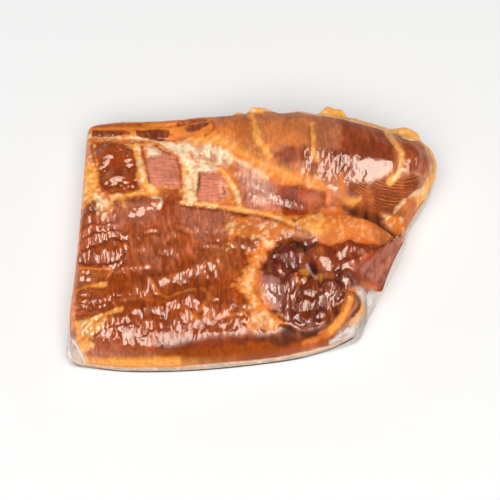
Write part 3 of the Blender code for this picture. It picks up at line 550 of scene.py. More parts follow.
# Where the film is dull instead of glossy: the dullness, its softness, and the patch
DULL = {
    "front strip": (1, 1.5, (-114, -75.5, -96, -77.5, -60, -77, -40, -73, -40, -86, -118, -86)),
    "loin front left": (0.85, 2, (6, 66, 33, 62, 36, 47, 33, 38, 20, 40, 4, 52)),
    "right flank": (1, 2, (119, 84, 121, 60, 120, 44, 108, 24, 140, 24, 140, 84)),
    "back of the loin end": (0.97, 2, (98, 66, 100, 90, 132, 86, 130, 58, 112, 60)),
    "round muscle": (0.88, 1.2, (40, -5, 48, -3, 56, -5, 58, -14, 50, -13, 42, -10)),
    "crease fat": (0.94, 1.5, (82, 22, 110, 22, 108, 6, 92, 9)),
    "right flank of the fat": (0.9, 2, (96, 40, 112, 40, 114, 20, 104, 12, 70, 18, 72, 28)),
    "left margin": (0.8, 0.8, (-113.5, 98, -113.5, 30, -114.5, -20, -116, -60, -123, -60, -120, 98)),
    "left fat": (0.97, 2, (-120, 66, -103, 66, -101, 34, -120, 34)),
    "fat column": (0.85, 1.5, (-47, 66, -36, 62, -35, 32, -47, 32)),
    "loin strokes": (0.25, 2, (26, 58, 56, 54, 60, 30, 30, 36)),
    "ribs": (0.76, 4, (-74, 74, -50, 66, -20, 56, -14, 28, -46, 30, -68, 38)),
    "second panel": (0.78, 2, (-72, 62, -50, 62, -46, 40, -68, 40)),
    "belly middle": (0.44, 5, (-84, 14, -20, 16, -14, -8, -44, -14, -80, -14)),
    "front smooth": (1, 3.5, (-26, -66.5, 12, -64.5, 60, -58, 60, -66, 10, -78, -66, -84, -60, -76, -44, -70.5)),
    "belt": (0.97, 2.5, (12, -66, 24, -60, 44, -62, 52, -48, 64, -42, 64, -56, 40, -68, 10, -74)),
    "flap": (0.84, 2, (66, -20, 92, -2, 104, 6, 92, -20, 86, -34, 70, -34)),
    "fat roll": (1, 3, (46, 20, 64, 24, 94, 12, 94, -2, 62, -5, 46, -4)),
    "end of the ribs": (0.9, 3, (-12, 32, 4, 30, 24, 24, 52, 26, 60, 18, 20, 12, -12, 20)),
    "crease": (1, 1.5, (56, 27, 68, 24, 84, 19, 104, 9, 104, 4, 88, 10, 68, 16, 56, 20)),
    "pocket hollow": (1, 1, (33, -10, 40, -10, 50, -22, 52, -31, 42, -30, 34, -22)),
    "tan lens": (0.8, 1, (26, 2, 31, 8, 38, 8, 43, 2, 36, -1)),
    "loin back": (0.84, 5, (-24, 98, 96, 90, 92, 62, 60, 54, 10, 56, -20, 74)),
}

# Where the film shines most: the softness and the patch
BRIGHT = {
    "loin light": (2, (68, 53, 100, 53, 101, 30, 70, 30)),
    "lavender muscle": (1.5, (9, -27, 20, -26, 21, -50, 12, -44)),
    "first fold": (1.5, (22, -28, 30, -30, 31, -48, 24, -48)),
    "fat field": (2, (-40, 72, -22, 70, -12, 58, -36, 56)),
    "glossy muscle": (1, (44, -32, 58, -28, 64, -24, 71, -30, 68, -38, 60, -44, 48, -46)),
    "front left": (3, (-112, -52, -98, -56, -74, -64, -72, -73, -94, -75, -111, -72)),
}

# Where the film is hazy or crinkled: the amount, its softness, and the patch
HAZE = {
    "right web": (0.85, 3, (70, -34, 88, -34, 74, -62, 56, -64, 66, -58, 75, -48)),
    "front left corner": (0.45, 3, (-120, -60, -113, -66, -108, -80, -120, -80)),
    "left margin": (0.03, 1, (-120, 96, -113.5, 96, -115.5, 40, -117.5, -76, -122, -76)),
    "back left margin": (0.06, 1, (-115, 98, -115, 93, -60, 95, -26, 98, -26, 102, -60, 99)),
}

# Fold lines in the film, their highlights painted as white haze: amount, half width and path
FOLD_HIGHLIGHTS = {
    "web edge": (0.75, 0.7, (104, 2, 99, -13, 90, -30, 80, -45, 76, -56)),
    "web fold": (0.6, 0.6, (102, -4, 95, -18, 86, -34, 78, -46)),
    "web fold low": (0.55, 0.6, (70, -36, 78, -42, 78, -56)),
    "web fold across": (0.4, 0.5, (74, -35, 84, -38)),
    "corner fold": (0.8, 0.7, (52, -66, 64, -62, 73, -56, 76, -48)),
    "corner fold upper": (0.45, 0.5, (62, -62, 70, -57, 74, -50)),
    "end fold": (0.5, 0.6, (116, 24, 109, 12, 104, 2)),
    "end fold inner": (0.35, 0.5, (113, 26, 106, 12, 101, 0)),
    "front left fold": (0.85, 0.7, (-118, -62, -112, -70, -106, -79)),
    "front left fold low": (0.8, 0.6, (-119, -70, -114, -78)),
    "hollow thread": (0.45, 0.35, (37, -17, 40, -23, 43, -28)),
}

# Colours: description, and sRGB values of 0 to 255
COLOURS = {
    "belly": ("Smoked lean of the belly", (171, 72, 15)),
    "dark_lean": ("Darkest smoked lean", (136, 51, 9)),
    # Nearly black that paints shade in the pocket's depths
    "black_lean": ("Nearly black depths of the pocket", (44, 20, 10)),
    # Dark brown that paints shade in creases and gaps and contact shadow at the wall's foot; left of the belt it
    # darkens the lean
    "deep": ("Dark brown of creases", (66, 28, 14)),
    "bar_lean": ("Lean bars along the back left edge", (146, 66, 32)),
    "pink_lean": ("Pinkish lean between the ribs", (222, 134, 104)),
    # Painted sheen: lean lightened where the dull film shines
    "haze_pink": ("Lean under misted film", (246, 182, 156)),
    "red_lean": ("Reddish lean at edges and ends", (166, 65, 22)),
    "loin_lean": ("Lean of the loin muscle", (204, 118, 68)),
    "loin_dark": ("Darker lean of the loin muscle", (146, 56, 22)),
    "amber_lean": ("Saturated brown along the front edge", (150, 66, 10)),
    "round_lean": ("Lean of the round muscle in the pocket", (156, 66, 32)),
    "right_lean": ("Red-brown lean right of the pocket", (146, 54, 20)),
    "plum": ("Dark purple lean of the pocket", (122, 42, 22)),
    "fold_lean": ("Dark red-brown lean of the folds", (134, 57, 32)),
    "mauve": ("Dull purple-brown lean", (172, 102, 80)),
    # Purple lean with painted sheen in part: paler than the lean beneath, where the film shines broadly
    "lavender": ("Pale purple lean in the pocket", (188, 124, 110)),
    "belt_lean": ("Dull lean along the front of the pocket", (108, 48, 22)),
    "smoke_fat": ("Orange smoked fat", (226, 130, 50)),
    "tan_fat": ("Smooth orange-tan fat of the roll", (210, 116, 48)),
    "gold_fat": ("Golden fat of seams and lines", (255, 180, 84)),
    "olive_fat": ("Dull yellow fat in the pocket", (190, 130, 52)),
    "pale_fat": ("Pale fat between the ribs", (255, 222, 172)),
    "cream": ("Lightest fat", (255, 236, 202)),
    "line_fat": ("Thin brown-orange lines in fat", (206, 104, 42)),
    "tan": ("Tan lean, thin over fat", (202, 112, 56)),
    "salmon": ("Salmon fat at edges", (234, 148, 104)),
}

# First seeds of the random draws. The number of an entry in its table is added, so the order of the
# entries in these tables decides where their borders wander
SEED = {"strokes": 100, "features": 200, "wrinkle borders": 300, "wrinkles": 400, "mottling": 500, "shingles": 700}

# Patches of the relief and the paint: the folded muscles of the pocket, the thin layers of the loin,
# the rib panels with their end and without it, the loin, the upper belly's painted sheen, and the flap's outer strip
CRUMPLED = (42, 0, 30, 1, 18, -3, 8, -18, 6, -36, 16, -52, 32, -62, 44, -60, 50, -50, 64, -42, 72, -34, 62, -22,
    46, -28, 40, -20, 35, -8)
LAYERED = (66, 35, 84, 35, 102, 37, 121, 45, 115, 32, 105, 23, 88, 20.5, 66, 23)
RIB_RELIEF = (-112, 80, -50, 74, -14, 56, 22, 36, 22, 22, -46, 30, -70, 36, -104, 34)
RIB_GRAIN = (-112, 80, -50, 74, -14, 56, -12, 28, -46, 30, -70, 36, -104, 34)
WHOLE_LOIN = (-24, 100, 135, 100, 135, 40, 108, 14, 64, 22, 20, 46, -22, 74)
UPPER_BELLY_SHEEN = (-100, 28, -14, 22, -10, -8, -60, -22, -104, -12)
FLAP_STRIP = (70, -18, 80, -11, 92, -1, 101, 5, 104, 3, 97, -10, 91, -20, 88, -30, 80, -27)


def linear(colour):
    """An sRGB colour of 0 to 255 as linear values."""
    share = np.array(colour, float) / 255
    return tuple(np.where(share <= 0.04045, share / 12.92, ((share + 0.055) / 1.055)**2.4))


def smooth_step(start, end, value):
    """0 before start, 1 after end, with a soft rise between."""
    share = np.clip((value - start) / (end - start), 0, 1)
    return share * share * (3 - 2 * share)


def smooth_max(first, second, blend):
    """The higher of two surfaces, rounded where they meet."""
    share = np.clip(0.5 + 0.5 * (first - second) / blend, 0, 1)
    return second + (first - second) * share + blend * share * (1 - share)


def in_pairs(points):
    """Points from a row of numbers, x and y by turns."""
    return np.array(points, float).reshape(-1, 2)


def spline_through(points, samples_per_span=8):
    """A smooth curve through the points, as dense samples."""
    knots = in_pairs(points)
    knots = np.vstack([2 * knots[0] - knots[1], knots, 2 * knots[-1] - knots[-2]])
    share = np.linspace(0, 1, samples_per_span, endpoint=False)[:, None]
    runs = []
    for a, b, c, d in zip(knots[:-3], knots[1:-2], knots[2:-1], knots[3:]):
        bend = (2 * a - 5 * b + 4 * c - d) * share**2 + (3 * b - a - 3 * c + d) * share**3
        runs.append(0.5 * (2 * b + (c - a) * share + bend))
    return np.vstack(runs + [knots[-2:-1]])


def point_at(curve, share):
    """Points on a sampled curve at shares of its length."""
    steps = np.linalg.norm(np.diff(curve, axis=0), axis=1)
    length = np.concatenate([[0], np.cumsum(steps)])
    return np.stack([np.interp(share, length / length[-1], curve[:, k]) for k in (0, 1)], axis=-1)


def read_stations(table, x, column):
    """A column of a table of stations along x, read smoothly between them."""
    table = np.array(table, float)
    places = table[:, 0]
    values = table[:, column]
    slopes = np.gradient(values, places)
    x = np.clip(x, places[0], places[-1])
    i = np.clip(np.searchsorted(places, x) - 1, 0, len(places) - 2)
    gap = places[i + 1] - places[i]
    t = (x - places[i]) / gap
    rise = (values[i + 1] - values[i]) * (3 * t**2 - 2 * t**3)
    return values[i] + rise + gap * (slopes[i] * (t**3 - 2 * t**2 + t) + slopes[i + 1] * (t**3 - t**2))


def nearest_on(path, x, y):
    """Distance to a path in plan, and the share of the path's length at the nearest point."""
    steps = np.linalg.norm(np.diff(path, axis=0), axis=1)
    length = np.concatenate([[0], np.cumsum(steps)])
    best = np.full(x.shape, np.inf)
    share = np.zeros(x.shape)
    for i, step in enumerate(steps):
        along = (path[i + 1] - path[i]) / step
        reach = np.clip((x - path[i, 0]) * along[0] + (y - path[i, 1]) * along[1], 0, step)
        gap = np.hypot(x - path[i, 0] - along[0] * reach, y - path[i, 1] - along[1] * reach)
        closer = gap < best
        best = np.where(closer, gap, best)
        share = np.where(closer, (length[i] + reach) / length[-1], share)
    return best, share


def is_inside(loop, x, y):
    """Whether places lie inside a closed loop in plan."""
    inside = np.zeros(x.shape, bool)
    for (ax, ay), (bx, by) in zip(loop[:-1], loop[1:]):
        if ay == by:
            continue
        crosses = (ay > y) != (by > y)
        inside ^= crosses & (x < (bx - ax) * (y - ay) / (by - ay) + ax)
    return inside


def depth_in(points, half_width, x, y):
    """How far inside a line of some width, or a closed patch, each place is; negative outside."""
    if half_width is None:
        loop = np.vstack([points, points[:1]])
        gap = nearest_on(loop, x, y)[0]
        return np.where(is_inside(loop, x, y), gap, -gap)
    return half_width - nearest_on(spline_through(points), x, y)[0]


# Cells along each side of the lattice that random unevenness is drawn on, after which it repeats
LATTICE = 256


def mottle(x, y, size, seed):
    """Smooth random unevenness of -1 to 1, with patches of the given size; size may be a pair."""
    size_x, size_y = size if isinstance(size, tuple) else (size, size)
    draws = np.random.default_rng(seed).uniform(-1, 1, (LATTICE + 1, LATTICE + 1))
    u = np.mod(x / size_x + LATTICE / 2, LATTICE)
    v = np.mod(y / size_y + LATTICE / 2, LATTICE)
    i, j = u.astype(int), v.astype(int)
    a, b = u - i, v - j
    a, b = a * a * (3 - 2 * a), b * b * (3 - 2 * b)
    low = draws[j, i] * (1 - a) + draws[j, i + 1] * a
    high = draws[j + 1, i] * (1 - a) + draws[j + 1, i + 1] * a
    return low * (1 - b) + high * b


def mask_of(points, softness, raggedness, x, y, seed=0, half_width=None):
    """1 inside a line or a patch and 0 outside it, over a soft and ragged border."""
    places = in_pairs(points)
    reach = (half_width or 0) + softness + raggedness
    near = (x > places[:, 0].min() - reach) & (x < places[:, 0].max() + reach)
    near &= (y > places[:, 1].min() - reach) & (y < places[:, 1].max() + reach)
    mask = np.zeros(x.shape)
    if near.any():
        near_x, near_y = x[near], y[near]
        depth = depth_in(places, half_width, near_x, near_y)
        if raggedness:
            depth = depth + raggedness * 0.65 * mottle(near_x, near_y, 4, seed)
            depth = depth + raggedness * 0.45 * mottle(near_x, near_y, 1.7, seed + 1)
        mask[near] = smooth_step(-softness, softness, depth)
    return mask


class Plan:
    """The plan of a body with four sides, and the map from the square -1..1 on to it."""

    def __init__(self, sides):
        self.sides = {name: spline_through(points) for name, points in sides.items()}

    def at(self, p, q):
        """Plan places of the square's points, with the four corners rounded."""
        ring = np.maximum(np.abs(p), np.abs(q))
        norm = (np.abs(p)**CORNER_POWER + np.abs(q)**CORNER_POWER)**(1 / CORNER_POWER)
        pull = np.where(norm > 0, ring / np.maximum(norm, 1e-9), 1)
        a = (p * pull + 1) / 2
        b = (q * pull + 1) / 2
        front, back, left, right = (self.sides[name] for name in ("front", "back", "left", "right"))
        a1, b1 = a[..., None], b[..., None]
        across = (1 - b1) * point_at(front, a) + b1 * point_at(back, a)
        along = (1 - a1) * point_at(left, b) + a1 * point_at(right, b)
        corners = (1 - a1) * ((1 - b1) * left[0] + b1 * left[-1])
        corners = corners + a1 * ((1 - b1) * right[0] + b1 * right[-1])
        return across + along - corners

    def loop(self, samples=60):
        """The closed outline."""
        run = np.linspace(-1, 1, samples, endpoint=False)
        one = np.ones(samples)
        p = np.concatenate([run, one, -run, -one])
        q = np.concatenate([-one, run, one, -run])
        places = self.at(p, q)
        return np.vstack([places, places[:1]])


def loin_top(x, y):
    """The half-round top of the loin muscle, 0 outside it."""
    axis, half_width, top = (read_stations(LOIN, x, column) for column in (1, 2, 3))
    across = np.clip((y - axis) / half_width, -1, 1)
    dome = LOIN_FOOT + (top - LOIN_FOOT) * (1 - across**2)**LOIN_FULLNESS
    inside = (np.abs(y - axis) < half_width) & (x > LOIN[0][0]) & (x < LOIN[-1][0])
    return np.where(inside, dome, 0)


def turned(x, y, centre_x, centre_y, turn):
    """Places measured from a centre, along and across a direction."""
    angle = math.radians(turn)
    along = (x - centre_x) * math.cos(angle) + (y - centre_y) * math.sin(angle)
    across = (y - centre_y) * math.cos(angle) - (x - centre_x) * math.sin(angle)
    return along, across


# How steeply these forms fall off towards their borders
SWELL_STEEPNESS = 1.5
FACET_STEEPNESS = 1.6
STROKE_STEEPNESS = 1.3
KNOB_STEEPNESS = 1.6


def spread_from(x, y, centre_x, centre_y, half_length, half_width, turn):
    """How far out from a centre places lie: 0 there, and 1 on a turned ellipse."""
    along, across = turned(x, y, centre_x, centre_y, turn)
    return (along / half_length)**2 + (across / half_width)**2


def swell_height(x, y):
    """The broad swellings and hollows of the top."""
    height = np.zeros(x.shape)
    for *ellipse, rise in SWELLS.values():
        height += rise * np.exp(-(spread_from(x, y, *ellipse)**SWELL_STEEPNESS))
    return height


def line_height(x, y):
    """Furrows and low ridges along their paths."""
    height = np.zeros(x.shape)
    for half_width, first_depth, last_depth, path in FURROWS.values():
        gap, share = nearest_on(spline_through(path), x, y)
        height -= (first_depth + (last_depth - first_depth) * share) * np.exp(-((gap / half_width)**2))
    for half_width, rise, path in RIDGES.values():
        gap = nearest_on(spline_through(path), x, y)[0]
        height += rise * np.exp(-((gap / half_width)**2))
    return height


def fold_height(x, y):
    """The folded muscles in the pocket, each a dome that falls towards the front; 0 outside them."""
    height = np.zeros(x.shape)
    shift_x = x + 1.5 * mottle(x, y, 5.5, 13) + 0.6 * mottle(x, y, 2.4, 15)
    shift_y = y + 1.5 * mottle(x, y, 5.5, 14) + 0.6 * mottle(x, y, 2.4, 16)
    for centre_x, centre_y, *shape, top, foot, fall in FOLDS.values():
        spread = spread_from(shift_x, shift_y, centre_x, centre_y, *shape)
        dome = foot + (top - foot) * np.clip(1 - spread, 0, 1)**0.4 + fall * (y - centre_y)
        height = np.where(spread < 1, smooth_max(dome, height, FOLD_BLEND), height)
    return height


def shifted(x, y, reach, size, seed):
    """Places moved about at random, so that a form's border wanders."""
    return x + reach * mottle(x, y, size, seed), y + reach * mottle(x, y, size, seed + 1)


def facet_height(x, y):
    """Places that tilt more than what lies round them, with uneven borders."""
    height = np.zeros(x.shape)
    shift_x, shift_y = shifted(x, y, 0.7, 2.6, 11)
    for centre_x, centre_y, *shape, fall_x, fall_y in FACETS.values():
        spread = spread_from(shift_x, shift_y, centre_x, centre_y, *shape)
        fall = fall_x * (x - centre_x) - fall_y * (y - centre_y)
        height -= fall * np.exp(-(spread**FACET_STEEPNESS))
    return height


def shingle_height(x, y):
    """Rows of shallow steps."""
    height = np.zeros(x.shape)
    for number, (patch, softness, length, rise, wander, lean) in enumerate(SHINGLES.values()):
        seed = SEED["shingles"] + 4 * number
        mask = mask_of(patch, softness, softness, x, y, seed)
        near = mask > 0
        near_x, near_y = x[near], y[near]
        shift = wander * mottle(near_x, near_y, (7, 16), seed + 1)
        shift += 0.14 * length * mottle(near_x + 0.2 * near_y, near_y, (1.6, 9), seed + 2)
        share = np.mod((near_y + lean * near_x + shift) / length, 1)
        step = np.minimum(share / 0.74, (1 - share) / 0.26)
        height[near] += mask[near] * rise * (smooth_step(0, 1, step) * 0.25 + step * 0.75 - 0.5)
    return height


def wrinkle_masks(x, y):
    """The patches of wrinkles one by one: number, mask, height, sizes across and along, and lean."""
    for number, (patch, softness, *wrinkle) in enumerate(WRINKLES.values()):
        seed = SEED["wrinkle borders"] + 2 * number
        yield number, mask_of(patch, softness, 0.5 * softness, x, y, seed), *wrinkle


def wrinkle_height(x, y):
    """Fine wrinkles of the surface, patch by patch."""
    height = np.zeros(x.shape)
    for number, mask, rise, across_size, along_size, lean in wrinkle_masks(x, y):
        seed = SEED["wrinkles"] + 2 * number
        near = mask > 0
        along, across = turned(x[near], y[near], 0, 0, 90 + lean)
        wave = mottle(along, across, (along_size, across_size), seed)
        wave += 0.5 * mottle(along, across, (0.6 * along_size, 0.55 * across_size), seed + 1)
        height[near] += mask[near] * rise * wave
    return height


def ripple_share(x, y):
    """How strongly the film is rippled, from 0 to 1."""
    share = np.zeros(x.shape)
    for _, mask, rise, *_ in wrinkle_masks(x, y):
        share = np.maximum(share, mask * rise)
    return np.clip(share / RIPPLE_FULL, RIPPLE_LEAST, 1)


# How the strokes of a field vary: the least and most share of their sizes, and their sway in degrees
STROKE_SHARES = (0.55, 1.35)
STROKE_SWAY = 9.0


def stroke_height(x, y, strength):
    """The short wrinkles, drawn at random in their fields."""
    height = np.zeros(x.shape)
    for number, field in enumerate(STROKES.values()):
        centre_x, centre_y, half_x, half_y, turn, count, half_length, half_width, rise, lean = field
        draw = np.random.default_rng(SEED["strokes"] + number)
        angle = math.radians(turn)
        for _ in range(count):
            along, across = draw.uniform(-1, 1, 2)
            size, thick, high = draw.uniform(*STROKE_SHARES, 3)
            tilt = 90 + lean + draw.normal(0, STROKE_SWAY)
            place_x = centre_x + along * half_x * math.cos(angle) - across * half_y * math.sin(angle)
            place_y = centre_y + along * half_x * math.sin(angle) + across * half_y * math.cos(angle)
            long, wide = half_length * size, half_width * thick
            reach = 2.4 * max(long, wide)
            near = (np.abs(x - place_x) < reach) & (np.abs(y - place_y) < reach)
            spread = spread_from(x[near], y[near], place_x, place_y, long, wide, tilt)
            height[near] += rise * high * strength * np.exp(-(spread**STROKE_STEEPNESS))
    return height


def on_layers(x, y):
    """Where the front of the loin shows the edges of its thin layers."""
    return mask_of(LAYERED, 2, 1, x, y, 9)


def fine_height(x, y, strength):
    """The muscle's own grain: fibres down the belly and across the rib panels."""
    on_ribs = mask_of(RIB_RELIEF, 3, 0, x, y)
    on_loin = mask_of(WHOLE_LOIN, 3, 0, x, y)
    down = mottle(x, y, (1.5, 6), 3) + 0.6 * mottle(x + 0.25 * y, y, (2.6, 9), 4)
    across = mottle(x, y, (7, 1.4), 5)
    grain = down * (1 - on_ribs) * (1 - 0.6 * on_loin) + across * on_ribs
    return strength * (0.16 * grain * (1 - 0.7 * on_layers(x, y)) + 0.22 * mottle(x, y, 5, 6))


def edge_radius(x, y):
    """Radius of the rounded upper edge at a place in plan."""
    radius = np.full(x.shape, EDGE_RADIUS)
    for extra, x_range, y_range in EDGE_PARTS.values():
        radius += extra * smooth_step(*x_range, x) * smooth_step(*y_range, y)
    return np.minimum(radius, EDGE_RADIUS_MOST)


def rounded_off(height, x, y, outline):
    """A top surface rounded down towards the outline."""
    radius = edge_radius(x, y)
    lean = np.clip(1 - nearest_on(outline, x, y)[0] / radius, 0, 1)
    return height - radius * (1 - np.sqrt(1 - lean**2))


def broad_height(x, y):
    """The large forms of the meat's top: slab, swellings, folds and loin."""
    slab = SLAB_THICKNESS - FRONT_DROOP * smooth_step(*FRONT_DROOP_Y, y)
    slab = slab - LEFT_DROOP * smooth_step(*LEFT_DROOP_X, x) + swell_height(x, y)
    height = smooth_max(slab, loin_top(x, y), LOIN_BLEND)
    folds = fold_height(x, y)
    return np.where(folds > 0, smooth_max(height, folds, FOLD_BLEND), height)


def crumple_height(x, y):
    """The crumpled skin of the folded muscles: sharp crests that wander."""
    mask = mask_of(CRUMPLED, 1.5, 1, x, y, 17)
    shift_x, shift_y = shifted(x, y, 2.2, 7, 18)
    crest = 1 - 2 * np.abs(mottle(shift_x, shift_y, (3.8, 7), 20))
    return 0.85 * mask * (crest + 0.22 * mottle(shift_x, shift_y, (1.8, 3), 22))


def small_relief(x, y, meat):
    """The relief that meat and film share: facets, wrinkles, strokes and grain."""
    height = facet_height(x, y) + shingle_height(x, y) + crumple_height(x, y)
    height += wrinkle_height(x, y) * meat.wrinkle_height
    return height + stroke_height(x, y, meat.stroke_height) + fine_height(x, y, meat.grain_height)


def large_relief(x, y, outline):
    """Height of the meat's top without its small relief, rounded off towards its outline."""
    return rounded_off(broad_height(x, y) + line_height(x, y), x, y, outline)


def push_out(points):
    """Pushes a surface out into knobs of fat."""
    for place, radii, reach, lean in KNOBS:
        spread = np.sum(((points - np.array(place)) / np.array(radii))**2, axis=1)
        points = points + np.exp(-(spread**KNOB_STEEPNESS))[:, None] * reach * np.array(lean)
    return points


def square_grid(columns, rows):
    """The square -1..1 as a grid with closer lines near its edges."""
    p = np.linspace(-1, 1, columns + 1)
    q = np.linspace(-1, 1, rows + 1)
    p = p + EDGE_CROWDING * np.sin(np.pi * p) / np.pi
    q = q + EDGE_CROWDING * np.sin(np.pi * q) / np.pi
    return np.meshgrid(p, q)


def rim_order(columns, rows):
    """Indices of a grid's border, counter-clockwise seen from above."""
    index = np.arange((columns + 1) * (rows + 1)).reshape(rows + 1, columns + 1)
    return np.concatenate([index[0, :-1], index[:-1, -1], index[-1, :0:-1], index[:0:-1, 0]])


def lay_out(plan, columns, rows):
    """A plan's grid: its places in plan, the order of its border, and unit steps inward from there."""
    grid_p, grid_q = square_grid(columns, rows)
    x, y = plan.at(grid_p.ravel(), grid_q.ravel()).T
    rim = rim_order(columns, rows)
    p, q = grid_p.ravel()[rim], grid_q.ravel()[rim]
    steps = plan.at(p * 0.97, q * 0.97) - plan.at(p, q)
    return x, y, rim, steps / np.maximum(np.linalg.norm(steps, axis=1, keepdims=True), 1e-6)


def ring_at(x, y, z, inward, inset):
    """A ring of wall points, each set in from the border."""
    return np.column_stack([x + inward[:, 0] * inset, y + inward[:, 1] * inset, z])


def evened(level):
    """A grid of heights with each inner one made the mean of its four neighbours."""
    even = level.copy()
    even[1:-1, 1:-1] = 0.25 * (level[:-2, 1:-1] + level[2:, 1:-1] + level[1:-1, :-2] + level[1:-1, 2:])
    return even


def band(upper, lower):
    """Faces between two rings of points."""
    return np.stack([upper, lower, np.roll(lower, -1), np.roll(upper, -1)], axis=-1)


def closed_body(name, top, columns, rows, walls, under=None):
    """A mesh object of a top grid and rings of wall, with one flat face or a second grid beneath."""
    rim = rim_order(columns, rows)
    index = np.arange(len(top)).reshape(rows + 1, columns + 1)
    quads = np.stack([index[:-1, :-1], index[:-1, 1:], index[1:, 1:], index[1:, :-1]], axis=-1).reshape(-1, 4)
    points, faces = [top, *walls], [quads]
    upper, count = rim, len(top)
    for _ in walls:
        lower = np.arange(count, count + len(rim))
        faces.append(band(upper, lower))
        count += len(rim)
        upper = lower
    if under is None:
        base = [upper[::-1].tolist()]
    else:
        base = []
        points.append(under)
        faces += [band(upper, rim + count), quads[:, ::-1] + count]
    mesh = bpy.data.meshes.new(name)
    mesh.from_pydata(((np.vstack(points) - DATUM) * MM).tolist(), [], np.vstack(faces).tolist() + base)
    mesh.validate()
    mesh.update()
    mesh.shade_smooth()
    piece = bpy.data.objects.new(name, mesh)
    bpy.context.scene.collection.objects.link(piece)
    return piece


def store(piece, tone=None, **shares):
    """A colour and numbers at each point of a piece, which its material reads."""
    stored = piece.data.attributes
    if tone is not None:
        solid = np.hstack([tone, np.ones((len(tone), 1))]).astype(np.float32)
        stored.new("tone", "FLOAT_COLOR", "POINT").data.foreach_set("color", solid.ravel())
    for name, values in shares.items():
        stored.new(name, "FLOAT", "POINT").data.foreach_set("value", np.asarray(values, np.float32))


def tinted(tone, share, colour):
    """Tones moved towards a colour, each by its share."""
    return tone + share[:, None] * (np.array(colour) - tone)


def painted(x, y, colours):
    """The meat's colour on its top, and how much of it is fat."""
    tone = np.tile(np.array(colours.belly), (len(x), 1))
    fat = np.zeros(len(x))
    for number, feature in enumerate(FEATURES.values()):
        colour, strength, softness, raggedness, points, *half_width = feature
        seed = SEED["features"] + 3 * number
        mask = strength * mask_of(points, softness, raggedness, x, y, seed, *half_width)
        tone = tinted(tone, mask, getattr(colours, colour))
        fat += mask * ((1 if "fat" in colour or colour in ("cream", "salmon") else 0) - fat)
    return vary(x, y, tone, fat, colours), fat


def vary(x, y, tone, fat, colours):
    """Uneven fat with paler lumps and darker lines, clouds and fibres in the lean, and painted sheen in soft pink
    streaks on the upper belly.
    """
    mottled = np.zeros(len(x))
    for number, (amount, softness, patch) in enumerate(MOTTLING.values()):
        mask = mask_of(patch, softness, softness, x, y, SEED["mottling"] + 2 * number)
        mottled = np.maximum(mottled, amount * mask)
    spots = smooth_step(0.05, 0.55, mottle(x, y, 2.4, 43) + 0.5 * mottle(x, y, 1.3, 44))
    lines = smooth_step(0.86, 0.97, 1 - np.abs(mottle(x + 0.4 * y, y, 3.6, 45)))
    lines *= smooth_step(-0.2, 0.4, mottle(x, y, 6, 46))
    dark = smooth_step(0.15, 0.6, mottle(x, y, 3.4, 47) + 0.4 * mottle(x, y, 1.6, 48))
    tone = tinted(tone, 0.85 * spots * mottled * fat, colours.pale_fat)
    tone = tinted(tone, 0.4 * dark * mottled * fat, colours.tan)
    tone = tinted(tone, 0.65 * lines * (0.15 + mottled) * fat, colours.line_fat)
    # Painted sheen: soft pink streaks on the upper belly, where the film's dull shine lies
    upper = mask_of(UPPER_BELLY_SHEEN, 7, 3, x, y, 520)
    painted_sheen_streaks = 0.46 * upper * smooth_step(0, 0.7, mottle(x + 0.3 * y, y, (1.9, 7.5), 54)) * (1 - fat)
    tone = tinted(tone, painted_sheen_streaks, colours.pink_lean)
    warm = 0.35 * smooth_step(0.2, 0.8, mottle(x + 0.2 * y, y, (3, 12), 52)) * (1 - fat)
    tone = tinted(tone, warm * smooth_step(-72, -60, y), colours.tan)
    clouds = 0.16 * mottle(x, y, 13, 49) + 0.12 * mottle(x, y, 5, 50)
    fibres = 0.11 * mottle(x + 0.2 * y, y, (1.3, 6), 51)
    return np.clip(tone * (1 + (clouds + fibres) * (1 - 0.5 * fat))[:, None], 0, 1)


# How often the relief is evened out before its hollows, which get painted shade, are read from the difference
HOLLOW_STEPS = 12


def paint_hollow_shade(tone, fat, height, y, colours):
    """Painted shade: orange-brown where the fat's lumps meet and on the fat's sides that face away from the light, and
    darker lean in the hollows between the lean's wrinkles.
    """
    level = height
    for _ in range(HOLLOW_STEPS):
        level = evened(level)
    relief = height - level
    hollow = smooth_step(0.06, 0.42, -relief).ravel()
    away = smooth_step(0.1, 0.5, -np.gradient(relief, axis=0) / np.gradient(y, axis=0)).ravel()
    # Painted shade on the fat, in its hollows and on sides facing away from the light
    tone = tinted(tone, 0.62 * np.maximum(hollow, 0.6 * away) * fat, colours.line_fat)
    # Painted shade on the lean, in its hollows
    return tone * (1 - 0.2 * hollow * (1 - fat))[:, None]


# Heights on the meat's wall in millimetres: its line of fat, the thin line above, and the band at its foot that is
# painted dark as contact shadow
WALL_LINE = 12.5
WALL_THIN_LINE = 27.0
WALL_CONTACT_SHADE = (3.6, 2.6)


